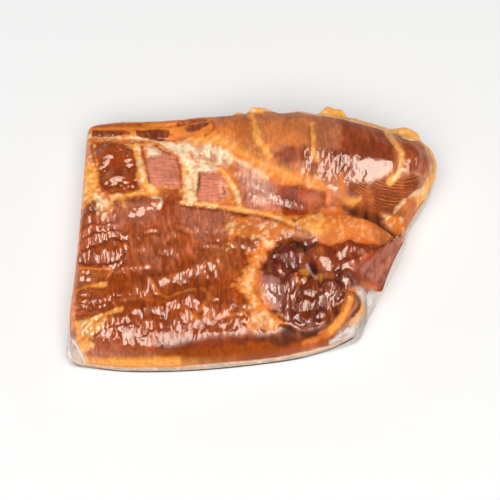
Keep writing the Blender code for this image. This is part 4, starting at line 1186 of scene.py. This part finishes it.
def wall_tone(x, y, z, colours):
    """The meat's colour on its walls: lean above, a line of fat low down and thin streaks between, with a band of
    painted shade along the front and painted contact shadow at the foot.
    """
    along = np.arctan2(y - 20, x) * 90
    level = z + 1.4 * mottle(along, z, (14, 14), 31) + 0.6 * mottle(along, z, (3, 5), 32)
    front = smooth_step(-30, -60, y)
    line = WALL_LINE + 4 * (1 - front) + 2 * front * smooth_step(-30, -60, x)
    thick = 1.6 + 3.2 * smooth_step(-25, -60, x) * front
    soft = 1 + 2.4 * front
    fat = smooth_step(thick + soft, thick, np.abs(level - line)) * (1 - 0.85 * front * smooth_step(-45, -5, x))
    upper = smooth_step(2, 1, np.abs(level - WALL_THIN_LINE)) * (1 - front)
    streaks = 0.6 * smooth_step(0.35, 0.8, mottle(along, z, (12, 1.5), 33)) * (1 - front)
    fat = np.maximum(fat, np.maximum(upper, streaks))
    tone = tinted(np.array(colours.dark_lean), front, colours.amber_lean)
    tone = tinted(tone, 0.5 + 0.5 * mottle(along, z, (5, 4), 34), colours.belly)
    tone = tinted(tone, fat, colours.smoke_fat)
    # Painted shade: a dark band along the front above the line of fat
    shade = 0.45 * front * smooth_step(-50, -20, x) * smooth_step(3.5, 1.5, np.abs(level - line - 4.5))
    tone = tinted(tone, shade, colours.deep)
    foot = 0.65 * smooth_step(line - thick, line - thick - 2, level)
    tone = tinted(tone, foot, colours.cream)
    # Painted contact shadow: dark brown at the foot of the wall
    base = smooth_step(*WALL_CONTACT_SHADE, z)
    return tinted(tone, base, colours.deep), np.maximum(fat, foot) * (1 - base)


def fatten_knobs(points, tone, fat, colours):
    """Turns the knobs to golden fat with paler lumps."""
    pale = smooth_step(0, 0.6, mottle(points[:, 0], points[:, 2] + points[:, 1], 3, 41))
    knob_tone = tinted(np.array(colours.gold_fat), 0.6 * pale, colours.cream)
    for place, radii, reach, lean in KNOBS:
        centre = np.array(place) + 0.8 * reach * np.array(lean)
        spread = np.sum(((points - centre) / (np.array(radii) * 1.05))**2, axis=1)
        spread += 0.25 * mottle(points[:, 0], points[:, 1] + points[:, 2], 2.5, 42)
        mask = smooth_step(1.2, 0.8, spread)
        tone = tinted(tone, mask, knob_tone)
        fat = fat + mask * (1 - fat)
    return tone, fat


class Nodes:
    """Adds shader nodes to a material or a world from left to right, and links them."""

    def __init__(self, material):
        material.use_nodes = True
        self.tree = material.node_tree
        self.tree.nodes.clear()
        self.count = 0

    def add(self, kind, links=None, **settings):
        """A node with its settings; links name its inputs, each with a socket or a value."""
        node = self.tree.nodes.new(kind)
        node.location = (220 * (self.count % 8), -260 * (self.count // 8))
        self.count += 1
        for name, value in settings.items():
            setattr(node, name, value)
        for key, value in (links or {}).items():
            socket = node.inputs[key]
            if isinstance(value, bpy.types.NodeSocket):
                self.tree.links.new(value, socket)
            else:
                socket.default_value = value
        return node

    def value(self, name):
        """A number that the mesh stores at its points."""
        return self.add("ShaderNodeAttribute", attribute_name=name).outputs["Fac"]

    def colour(self, name):
        """A colour that the mesh stores at its points."""
        return self.add("ShaderNodeAttribute", attribute_name=name).outputs["Color"]

    def math(self, operation, first, second=0, third=0):
        """A sum, product or other step on numbers."""
        return self.add("ShaderNodeMath", {0: first, 1: second, 2: third}, operation=operation).outputs[0]

    def times(self, first, second):
        """A product of numbers."""
        return self.math("MULTIPLY", first, second)

    def rest(self, share):
        """What a share leaves of 1."""
        return self.math("SUBTRACT", 1, share)

    def spread(self, value, low, high, new_low, new_high):
        """A number moved from one range to another."""
        links = {"Value": value, "From Min": low, "From Max": high, "To Min": new_low, "To Max": new_high}
        return self.add("ShaderNodeMapRange", links).outputs["Result"]

    def noise(self, scale, detail=2, roughness=0.5):
        """Noise over the piece; scale is how many patches a metre holds along x, y and z."""
        place = self.add("ShaderNodeTexCoord").outputs["Object"]
        mapped = self.add("ShaderNodeMapping", {"Vector": place, "Scale": scale}).outputs["Vector"]
        links = {"Vector": mapped, "Scale": 1, "Detail": detail, "Roughness": roughness}
        return self.add("ShaderNodeTexNoise", links).outputs["Fac"]

    def mix(self, share, first, second, blend="MIX"):
        """Two colours mixed."""
        links = {0: share, 6: first, 7: second}
        return self.add("ShaderNodeMix", links, data_type="RGBA", blend_type=blend).outputs[2]

    def finish(self, shader):
        """Links the surface to the output."""
        self.add("ShaderNodeOutputMaterial", {"Surface": shader})


# Depth of the bumps on the meat and on the film, in metres
MEAT_BUMP = 0.0004
FILM_BUMP = 0.0006

# The thin layers of the loin: their spacing in millimetres, their bend, and their lean in y and z
LAYER_STEP = 2.2
LAYER_BEND = 0.012
LAYER_LEAN = (0.89, 0.45)


def layer_lines(nodes):
    """Thin lines where the loin's inclined layers come to the surface, 0 to 1."""
    place = nodes.add("ShaderNodeSeparateXYZ", {0: nodes.add("ShaderNodeTexCoord").outputs["Object"]})
    side = nodes.math("MULTIPLY_ADD", place.outputs[0], 1 / MM, DATUM[0] - 100)
    bend = nodes.times(nodes.times(side, side), -LAYER_BEND)
    wander = nodes.math("MULTIPLY_ADD", nodes.noise((110, 110, 110), 1), 3, bend)
    level = nodes.math("MULTIPLY_ADD", place.outputs[1], LAYER_LEAN[0] / MM, wander)
    level = nodes.math("MULTIPLY_ADD", place.outputs[2], LAYER_LEAN[1] / MM, level)
    wave = nodes.math("SINE", nodes.times(level, 2 * math.pi / LAYER_STEP))
    line = nodes.spread(wave, 0.5, 1, 0, 1)
    uneven = nodes.spread(nodes.noise((130, 260, 200), 1), 0.35, 0.65, 0.1, 0.85)
    return nodes.times(nodes.times(line, uneven), nodes.value("layers"))


def meat_material(colours):
    """Smoked lean and fat: the stored tone, varied by fibres, with a moist surface."""
    material = bpy.data.materials.new(MEAT_MATERIAL)
    nodes = Nodes(material)
    tone = nodes.mix(layer_lines(nodes), nodes.colour("tone"), (*colours.smoke_fat, 1))
    fat = nodes.value("fat")
    cross = nodes.value("cross_grain")
    down = nodes.noise((820, 120, 400), 3, 0.6)
    across = nodes.noise((110, 760, 400), 3, 0.6)
    fibres = nodes.mix(cross, down, across)
    clouds = nodes.noise((95, 95, 95), 2)
    specks = nodes.noise((430, 430, 430), 3, 0.65)
    lean_shade = nodes.spread(fibres, 0.3, 0.7, 0.72, 1.26)
    fat_shade = nodes.spread(specks, 0.3, 0.7, 0.94, 1.2)
    lean_shade = nodes.times(lean_shade, nodes.spread(specks, 0.3, 0.7, 0.85, 1.15))
    shade = nodes.times(nodes.mix(fat, lean_shade, fat_shade), nodes.spread(clouds, 0.3, 0.7, 0.9, 1.1))
    shaded = nodes.mix(1, tone, shade, blend="MULTIPLY")
    lumps = nodes.spread(nodes.noise((330, 330, 330), 4, 0.6), 0.5, 0.58, 0, 1)
    veined = nodes.mix(1, shaded, (0.97, 0.66, 0.38, 1), blend="MULTIPLY")
    shaded = nodes.mix(nodes.times(nodes.times(lumps, fat), 0.45), shaded, veined)
    height = nodes.math("ADD", nodes.times(fibres, 0.6), nodes.times(specks, 0.4))
    bump = nodes.add("ShaderNodeBump", {"Height": height, "Strength": 0.25, "Distance": MEAT_BUMP})
    links = {
        "Base Color": shaded,
        "Roughness": nodes.spread(specks, 0.2, 0.8, 0.36, 0.52),
        "Normal": bump.outputs["Normal"],
        "Specular IOR Level": 0.05,
    }
    nodes.finish(nodes.add("ShaderNodeBsdfPrincipled", links).outputs["BSDF"])
    return material


def film_material(film):
    """Clear film: see-through, glossy by its angle, dull or hazy where the mesh says so."""
    material = bpy.data.materials.new("Clear film")
    nodes = Nodes(material)
    haze = nodes.value("haze")
    ripple = nodes.value("ripple")
    strips = nodes.spread(nodes.noise((540, 115, 300), 1), 0.45, 0.53, film.gaps, 0)
    shiny = nodes.rest(nodes.value("dull"))
    shiny = nodes.times(shiny, nodes.rest(nodes.times(strips, ripple)))
    dull = nodes.rest(shiny)
    crinkle = nodes.noise((260, 260, 260), 4, 0.6)
    waves = nodes.noise((620, 95, 300), 2, 0.5)
    fine = nodes.times(crinkle, 0.25)
    height = nodes.math("MULTIPLY_ADD", nodes.times(waves, ripple), film.ripple / FILM_BUMP, fine)
    bump = nodes.add("ShaderNodeBump", {"Height": height, "Strength": 1, "Distance": FILM_BUMP}).outputs["Normal"]
    facing = nodes.add("ShaderNodeLayerWeight", {"Blend": 0.5, "Normal": bump}).outputs["Facing"]
    face_on = nodes.spread(dull, 0, 1, film.gloss, film.dull_gloss)
    sheen = nodes.math("MULTIPLY_ADD", nodes.math("POWER", facing, 4), film.edge_gloss, face_on)
    glossy = nodes.add("ShaderNodeBsdfGlossy", {
        "Color": (1, 0.85, 0.72, 1),
        "Roughness": nodes.spread(dull, 0.4, 1, film.roughness, film.dull_roughness),
        "Normal": bump,
    })
    clear = nodes.add("ShaderNodeBsdfTransparent", {"Color": (1, 1, 1, 1)})
    upward = nodes.add("ShaderNodeCombineXYZ", {"X": 0, "Y": -0.2, "Z": 0.98}).outputs[0]
    folds = nodes.spread(nodes.noise((170, 170, 420), 2, 0.6), 0.5, 0.6, 0, 0.65)
    milk = nodes.mix(folds, (1, 0.97, 0.94, 1), (0.72, 0.5, 0.34, 1))
    milky = nodes.add("ShaderNodeBsdfDiffuse", {"Color": milk, "Normal": upward})
    base = nodes.add("ShaderNodeMixShader", {0: haze, 1: clear.outputs[0], 2: milky.outputs[0]})
    surface = nodes.add("ShaderNodeMixShader", {0: sheen, 1: base.outputs[0], 2: glossy.outputs[0]})
    nodes.finish(surface.outputs[0])
    return material


def share_of(name, text, default, **limits):
    """A setting that is a share or a factor."""
    return FloatProperty(name=name, description=text, default=default, min=0, subtype="FACTOR", **limits)


def length_of(name, text, default, **limits):
    """A setting that is a length in metres."""
    return FloatProperty(name=name, description=text, default=default, unit="LENGTH", subtype="DISTANCE", **limits)


class MeatSizes(PropertyGroup):
    """Sizes of the meat that a user would change."""

    columns: IntProperty(name="Columns", description="Divisions along the slab", default=306, min=40)
    rows: IntProperty(name="Rows", description="Divisions from front to back", default=222, min=30)
    wall_rows: IntProperty(name="Wall rows", description="Divisions down the wall", default=18, min=6)
    wrinkle_height: share_of("Wrinkle height", "Height of the wrinkles, as a share of the usual", 1)
    stroke_height: share_of("Stroke height", "Height of the short strokes, as a share of the usual", 0.7)
    grain_height: share_of("Grain height", "Height of the muscle's grain, as a share of the usual", 1)
    foot_radius: length_of("Foot radius", "Radius of the rounded lower edge of the meat", 0.006, min=0.001)
    front_foot_radius: length_of("Front foot radius", "Radius of the lower edge along the front", 0.0004, min=0.0001)


class MeatColours(PropertyGroup):
    """Colours of the meat's lean and fat."""

    __annotations__ = {
        key: FloatVectorProperty(
            name=key.replace("_", " ").capitalize(), description=text, size=3, min=0, max=1,
            default=linear(colour), subtype="COLOR")
        for key, (text, colour) in COLOURS.items()
    }


class FilmLook(PropertyGroup):
    """Size and finish of the film."""

    gap: length_of("Gap", "Least gap between film and meat", 0.0003, min=0.0001)
    drape_steps: IntProperty(
        name="Drape steps", description="How often the film is pulled flat over the meat's hollows", default=10, min=0)
    gloss: share_of("Gloss", "Share of light that the film reflects face on at its shiniest", 0.2)
    usual_dullness: share_of(
        "Usual dullness", "How far from shiniest to dullest the film is in most places", 0.22, max=1)
    fat_dullness: share_of("Dullness over fat", "Least dullness of the film where it lies on fat", 0.8, max=1)
    gaps: share_of("Gaps", "How far the shine breaks into strips where the film is rippled", 0.85, max=1)
    ripple: length_of("Ripple", "Height of the film's fine ripples", 0.0005, min=0)
    dull_gloss: share_of("Dull gloss", "Share of light that dull film reflects face on", 0.004)
    edge_gloss: share_of("Edge gloss", "Share of light that the film reflects more at grazing angles", 0.08)
    roughness: share_of("Roughness", "Roughness where the film is glossy", 0.06)
    dull_roughness: share_of("Dull roughness", "Roughness where the film is dull", 0.48)


class StageLook(PropertyGroup):
    """Camera, lights and floor."""

    camera_distance: length_of("Camera distance", "From the camera to its target", 0.8)
    camera_elevation: FloatProperty(
        name="Camera elevation", description="Angle above the floor", default=math.radians(63), subtype="ANGLE")
    focal_length: FloatProperty(name="Focal length", description="In millimetres, on a 36 mm sensor", default=85.8)
    target_height: length_of("Target height", "Height of the camera's target", 0.02)
    key_power: FloatProperty(
        name="Key light", description="Power of the large soft light", default=96, unit="POWER")
    surround: FloatProperty(
        name="Surround", description="Brightness of the room near the floor", default=0.65, min=0)
    overhead: FloatProperty(name="Overhead", description="Brightness of the room overhead", default=0.05, min=0)
    floor_colour: FloatVectorProperty(
        name="Floor", description="Colour of the floor", size=3, min=0, max=1, default=(0.94, 0.938, 0.932),
        subtype="COLOR")


def finish_piece(piece):
    """Puts a finished piece on its body and hides the imported part that it stands for."""
    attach(piece, BODY)
    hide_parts(NODE)


class BACON_OT_meat(Operator):
    """Build the slab of meat with its relief and its painted lean and fat"""

    bl_idname = "bacon.meat"
    bl_label = "Slab of meat"

    def execute(self, context):
        sizes = context.scene.bacon_meat
        colours = context.scene.bacon_colours
        plan = Plan(MEAT_SIDES)
        grid = (sizes.columns, sizes.rows)
        x, y, rim, inward = lay_out(plan, *grid)
        height = large_relief(x, y, plan.loop()) + small_relief(x, y, sizes)
        tone, fat = painted(x, y, colours)
        shape = (sizes.rows + 1, sizes.columns + 1)
        # Painted shade in the relief's hollows and on sides facing away from the light
        tone = paint_hollow_shade(tone, fat, height.reshape(shape), y.reshape(shape), colours)
        rings = self.rings(x[rim], y[rim], height[rim], inward, sizes)
        points = push_out(np.vstack([np.column_stack([x, y, height]), *rings]))
        top, wall = points[:len(x)], points[len(x):]
        rings = wall.reshape(sizes.wall_rows, len(rim), 3)
        piece = closed_body("bacon_meat", top, *grid, rings)
        side_tone, side_fat = wall_tone(*wall.T, colours)
        near_top = np.repeat(np.linspace(1, 0, sizes.wall_rows), len(rim))
        side_tone = tinted(side_tone, smooth_step(0.8, 1, near_top), np.tile(tone[rim], (sizes.wall_rows, 1)))
        tone, fat = fatten_knobs(points, np.vstack([tone, side_tone]), np.concatenate([fat, side_fat]), colours)
        layers = on_layers(x, y)
        cross = np.maximum(mask_of(RIB_GRAIN, 2, 0, x, y), layers)
        cross = np.concatenate([cross, np.ones(len(wall))])
        layers = np.concatenate([layers, np.zeros(len(wall))])
        store(piece, tone, fat=fat, cross_grain=cross, layers=layers)
        piece.data.materials.append(meat_material(colours))
        finish_piece(piece)
        return {"FINISHED"}

    def rings(self, x, y, top, inward, sizes):
        """Rings of points down the wall and round its lower edge, which is sharper along the front."""
        front = smooth_step(-20, -60, y)
        foot = (sizes.foot_radius + (sizes.front_foot_radius - sizes.foot_radius) * front) / MM
        foot = np.minimum(foot, top - 1)
        rings = []
        half = sizes.wall_rows // 2
        for row in range(1, sizes.wall_rows + 1):
            if row <= half:
                z = top + (foot - top) * row / half
                inset = 0.4 * np.sin(np.pi * row / half) * mottle(x, y + 3 * z, 7, 21)
            else:
                angle = 0.5 * np.pi * 0.94 * (row - half) / (sizes.wall_rows - half)
                z = foot * (1 - np.sin(angle)) + 0.05
                inset = foot * (1 - np.cos(angle))
            rings.append(ring_at(x, y, z, inward, inset))
        rings[-1][:, 2] = MEAT_LIFT
        return rings


# The four sides of the leaf of meat at the right front, in plan
FLAP_SIDES = {
    "front": (62, -28, 68, -33, 78, -32.5, 87, -31.5),
    "back": (60, -18, 72, -13, 86, -4, 101, 6),
    "left": (62, -28, 60, -23, 60, -18),
    "right": (87, -31.5, 91, -21, 96.5, -9, 103, 3, 101, 6),
}

# Its grid, its thickness and edge, the height of its top at root and tip, how much lower its right
# end lies, its reach from root to tip, and the film's rise over it
FLAP_DIVISIONS = {"columns": 60, "rows": 44}
FLAP_WALL_ROWS = 6
FLAP_THICKNESS = 3.2
FLAP_EDGE = 1.6
FLAP_ROOT = 36.0
FLAP_TIP = 25.0
FLAP_FALL = 3.0
FLAP_REACH = 24.0
FILM_OVER_FLAP = 1.2


def flap_top(x, y):
    """The top of the leaf, which hangs down from its back side."""
    out = np.clip(nearest_on(spline_through(FLAP_SIDES["back"]), x, y)[0] / FLAP_REACH, 0, 1)
    return FLAP_ROOT - FLAP_FALL * smooth_step(70, 100, x) + (FLAP_TIP - FLAP_ROOT) * out**1.1


class BACON_OT_flap(Operator):
    """Build the leaf of meat that hangs over the right front edge"""

    bl_idname = "bacon.flap"
    bl_label = "Flap"

    def execute(self, context):
        colours = context.scene.bacon_colours
        plan = Plan(FLAP_SIDES)
        x, y, rim, inward = lay_out(plan, **FLAP_DIVISIONS)
        rim_gap = nearest_on(plan.loop(40), x, y)[0]
        top = flap_top(x, y)
        top += 0.5 * mottle(x, y, 6, 51) + 0.22 * mottle(x, y, (2, 5), 52)
        top -= FLAP_EDGE * (1 - np.sqrt(1 - np.clip(1 - rim_gap / FLAP_EDGE, 0, 1)**2))
        rings = []
        for share in np.arange(1, FLAP_WALL_ROWS + 1) / FLAP_WALL_ROWS:
            inset = 0.9 * (1 - math.sqrt(1 - share**2))
            rings.append(ring_at(x[rim], y[rim], top[rim] - (FLAP_THICKNESS - FLAP_EDGE) * share, inward, inset))
        under = np.column_stack([x, y, top - FLAP_THICKNESS])
        under[rim] = rings.pop()
        leaf = np.column_stack([x, y, top])
        piece = closed_body("bacon_flap", leaf, walls=rings, under=under, **FLAP_DIVISIONS)
        count = len(piece.data.vertices)
        edge_and_under = np.tile(np.array(colours.red_lean), (count - len(x), 1))
        tone = np.vstack([self.paint(x, y, colours, rim_gap), edge_and_under])
        store(piece, tone, fat=np.zeros(count), cross_grain=np.full(count, 0.3))
        piece.data.materials.append(bpy.data.materials[MEAT_MATERIAL])
        finish_piece(piece)
        return {"FINISHED"}

    def paint(self, x, y, colours, rim_gap):
        """Dull mauve along the outer strip, red-brown below it, with a darker edge."""
        strip = mask_of(FLAP_STRIP, 2, 2, x, y, 61)
        spots = smooth_step(0.1, 0.5, mottle(x, y, (2.4, 3.4), 62)) * smooth_step(-6, -14, y)
        grain = 1 + 0.24 * mottle(x - 0.6 * y, y, (1.4, 6), 63) + 0.12 * mottle(x, y, 6, 64)
        low = smooth_step(-25, -30, y + 0.1 * (x - 70)) * smooth_step(88, 82, x)
        tone = np.tile(np.array(colours.right_lean), (len(x), 1))
        tone = tinted(tone, 0.9 * strip, colours.mauve)
        tone = tinted(tone, 0.45 * spots * strip, colours.plum)
        tone = tinted(tone, 0.6 * low, colours.tan)
        tone = tinted(tone, 0.45 * smooth_step(1.2, 0.3, rim_gap), colours.plum)
        return np.clip(tone * grain[:, None], 0, 1)


# The film's foot: how far it is rounded in, the rings of its wall and those of the foot, and how far
# its upper edge lies below the pack's, more at the web on the right
FOOT_TUCK = 3.0
FILM_WALL_ROWS = 18
FILM_FOOT_ROWS = 6
FILM_EDGE_DROP = 1.5
FILM_WEB_DROP = 14.0
FILM_EDGE_LEAST = 4.0


class BACON_OT_film(Operator):
    """Drape the clear film over the meat and down to the floor"""

    bl_idname = "bacon.film"
    bl_label = "Clear film"

    def execute(self, context):
        sizes = context.scene.bacon_meat
        film = context.scene.bacon_film
        plan = Plan(PACK_SIDES)
        grid = (sizes.columns, sizes.rows)
        x, y, rim, inward = lay_out(plan, *grid)
        height = self.drape(x, y, plan, sizes, film)
        run = np.concatenate([[0], np.cumsum(np.hypot(np.diff(x[rim]), np.diff(y[rim])))])
        front = smooth_step(-45, -62, y[rim])
        rings = self.rings(x[rim], y[rim], height[rim], inward, run, front)
        points = push_out(np.vstack([np.column_stack([x, y, height]), *rings]))
        rings = points[len(x):].reshape(FILM_WALL_ROWS, len(rim), 3)
        piece = closed_body("bacon_film", points[:len(x)], *grid, rings)
        fat = painted(x, y, context.scene.bacon_colours)[1]
        dull, haze = self.finish(x, y, fat, film)
        dull = np.concatenate([dull, np.tile(0.9 + 0.1 * front, FILM_WALL_ROWS)])
        haze = np.concatenate([haze] + [self.skirt_haze(ring[:, 2], run, front) for ring in rings])
        ripple = np.concatenate([ripple_share(x, y), np.full(len(points) - len(x), 0.3)])
        store(piece, dull=dull, haze=haze, ripple=ripple)
        piece.data.materials.append(film_material(film))
        finish_piece(piece)
        return {"FINISHED"}

    def rings(self, x, y, top, inward, run, front):
        """Rings of points down the pleated wall and round the foot, which is upright along the front."""
        rings = []
        upright = FILM_WALL_ROWS - FILM_FOOT_ROWS
        tuck = FOOT_TUCK * 1.2 * (1 - front)
        for row in range(1, FILM_WALL_ROWS + 1):
            if row <= upright:
                share = row / upright
                z = top + (FOOT_TUCK - top) * share
                pleats = 0.6 * mottle(run, z, (2.4, 30), 71) + 0.6 * mottle(run, z, (6, 12), 72)
                inset = np.maximum(pleats * math.sin(math.pi * share), 0)
            else:
                angle = 0.5 * math.pi * (row - upright) / FILM_FOOT_ROWS
                z = np.full(len(x), FOOT_TUCK * (1 - math.sin(angle)))
                inset = tuck * (1 - math.cos(angle))
            rings.append(ring_at(x, y, z, inward, inset))
        return rings

    def finish(self, x, y, fat, film):
        """How dull and how hazy the film is over its top, with highlights painted as white haze along its folds."""
        dull = np.maximum(np.full(len(x), film.usual_dullness), film.fat_dullness * fat)
        for softness, patch in BRIGHT.values():
            dull *= 1 - mask_of(patch, softness, 1, x, y, 80)
        for amount, softness, patch in DULL.values():
            dull = np.maximum(dull, amount * mask_of(patch, softness, 1, x, y, 81))
        haze = np.full(len(x), 0.001)
        for amount, softness, patch in HAZE.values():
            haze = np.maximum(haze, amount * mask_of(patch, softness, 1.5, x, y, 82))
        # Painted highlights: white haze along the film's folds
        for amount, half_width, path in FOLD_HIGHLIGHTS.values():
            haze = np.maximum(haze, amount * mask_of(path, 0.6, 0.4, x, y, 85, half_width))
        return dull, haze

    def skirt_haze(self, z, run, front):
        """Haze of one ring of the wall: a low skirt, with streaks along the front."""
        streaks = 0.5 + 0.5 * mottle(run, z, (12, 1.8), 83)
        skirt = smooth_step(9, 7, z + 1.5 * mottle(run, z, (14, 9), 84))
        skirt *= smooth_step(2.4, 3.6, z)
        return 0.01 * (1 - front) + skirt * (0.06 + front * (0.12 + 0.5 * streaks))

    def drape(self, x, y, plan, sizes, film):
        """Height of the film: pulled flat over hollows, and never below the meat."""
        outline = Plan(MEAT_SIDES).loop()
        meat = large_relief(x, y, outline) + film.gap / MM
        on_meat = is_inside(outline, x, y)
        on_flap = is_inside(Plan(FLAP_SIDES).loop(30), x, y)
        floor = np.where(on_meat, meat, 0)
        floor = np.where(on_flap, np.maximum(floor, flap_top(x, y) + FILM_OVER_FLAP), floor)
        pack = rounded_off(broad_height(x, y), x, y, plan.loop())
        web = smooth_step(-28, -40, y) * smooth_step(66, 76, x)
        edge = np.maximum(pack - FILM_EDGE_DROP - FILM_WEB_DROP * web, FILM_EDGE_LEAST)
        shape = (sizes.rows + 1, sizes.columns + 1)
        height = np.where(on_meat | on_flap, floor, edge).reshape(shape)
        floor, edge = floor.reshape(shape), edge.reshape(shape)
        for _ in range(film.drape_steps):
            height = np.maximum(evened(height), floor)
            height[0], height[-1] = edge[0], edge[-1]
            height[:, 0], height[:, -1] = edge[:, 0], edge[:, -1]
        return height.ravel() + small_relief(x, y, sizes)


# The stage: half the floor's size and its depth below the piece, the camera's sensor in millimetres,
# and the key light's place, target, and width and length, in metres
FLOOR_HALF = 1.6
FLOOR_DROP = 0.0003
SENSOR_WIDTH = 36.0
KEY_PLACE = (0.0, -1.13, 2.37)
KEY_TARGET = (0.0, -0.01, 0.02)
KEY_SIZE = (3.1, 2.7)


class BACON_OT_stage(Operator):
    """Set the camera, the lights, the surround and the floor"""

    bl_idname = "bacon.stage"
    bl_label = "Stage"

    def execute(self, context):
        stage = context.scene.bacon_stage
        self.camera(context.scene, stage)
        self.area_light("Key light", KEY_PLACE, KEY_TARGET, KEY_SIZE, stage.key_power)
        context.scene.world = self.surround(stage)
        mesh = bpy.data.meshes.new("floor")
        corners = [(x * FLOOR_HALF, y * FLOOR_HALF, 0) for x, y in ((-1, -1), (1, -1), (1, 1), (-1, 1))]
        mesh.from_pydata(corners, [], [(0, 1, 2, 3)])
        floor = bpy.data.objects.new("floor", mesh)
        floor.location = (0, 0, -FLOOR_DROP)
        context.scene.collection.objects.link(floor)
        material = bpy.data.materials.new("Pale floor")
        nodes = Nodes(material)
        links = {"Base Color": (*stage.floor_colour, 1), "Roughness": 0.85, "Specular IOR Level": 0.1}
        nodes.finish(nodes.add("ShaderNodeBsdfPrincipled", links).outputs["BSDF"])
        mesh.materials.append(material)
        context.scene.view_settings.view_transform = "Standard"
        return {"FINISHED"}

    def surround(self, stage):
        """A pale room: bright all round near the floor, and darker overhead."""
        world = bpy.data.worlds.new("Pale room")
        nodes = Nodes(world)
        way = nodes.add("ShaderNodeTexCoord").outputs["Generated"]
        height = nodes.add("ShaderNodeSeparateXYZ", {"Vector": way}).outputs["Z"]
        strength = nodes.spread(height, 0, 0.55, stage.surround, stage.overhead)
        background = nodes.add("ShaderNodeBackground", {"Color": (1, 0.995, 0.99, 1), "Strength": strength})
        nodes.add("ShaderNodeOutputWorld", {"Surface": background.outputs[0]})
        return world

    def camera(self, scene, stage):
        """The camera at the photograph's angle."""
        data = bpy.data.cameras.new("Camera")
        data.lens = stage.focal_length
        data.sensor_width = SENSOR_WIDTH
        camera = bpy.data.objects.new("Camera", data)
        target = Vector((-DATUM[0] * MM, -DATUM[1] * MM, stage.target_height))
        away = Vector((0, -math.cos(stage.camera_elevation), math.sin(stage.camera_elevation)))
        camera.location = target + away * stage.camera_distance
        camera.rotation_euler = (math.pi / 2 - stage.camera_elevation, 0, 0)
        scene.collection.objects.link(camera)
        scene.camera = camera

    def area_light(self, name, place, target, size, power):
        """A soft rectangular light that faces its target."""
        data = bpy.data.lights.new(name, "AREA")
        data.shape = "RECTANGLE"
        data.size, data.size_y = size
        data.energy = power
        light = bpy.data.objects.new(name, data)
        light.location = place
        light.rotation_euler = (Vector(target) - Vector(place)).to_track_quat("-Z", "Y").to_euler()
        bpy.context.scene.collection.objects.link(light)


class BACON_PT_panel(Panel):
    """Lists the pieces and the stage"""

    bl_label = "Slab Bacon"
    bl_idname = "BACON_PT_panel"
    bl_space_type = "VIEW_3D"
    bl_region_type = "UI"
    bl_category = "Bacon"

    def draw(self, context):
        for group in ("bacon_meat", "bacon_film", "bacon_stage"):
            settings = getattr(context.scene, group)
            for name in settings.__annotations__:
                self.layout.prop(settings, name)
        for operator in OPERATORS:
            self.layout.operator(operator.bl_idname)


GROUPS = {"bacon_meat": MeatSizes, "bacon_colours": MeatColours, "bacon_film": FilmLook, "bacon_stage": StageLook}
OPERATORS = (BACON_OT_meat, BACON_OT_flap, BACON_OT_film, BACON_OT_stage)
CLASSES = (*GROUPS.values(), *OPERATORS, BACON_PT_panel)


def register():
    for cls in CLASSES:
        bpy.utils.register_class(cls)
    for name, group in GROUPS.items():
        setattr(bpy.types.Scene, name, PointerProperty(type=group))


def unregister():
    for name in GROUPS:
        delattr(bpy.types.Scene, name)
    for cls in reversed(CLASSES):
        bpy.utils.unregister_class(cls)


def main():
    register()
    bpy.ops.bacon.meat()
    bpy.ops.bacon.flap()
    bpy.ops.bacon.film()
    bpy.ops.bacon.stage()


if __name__ == "__main__":
    main()
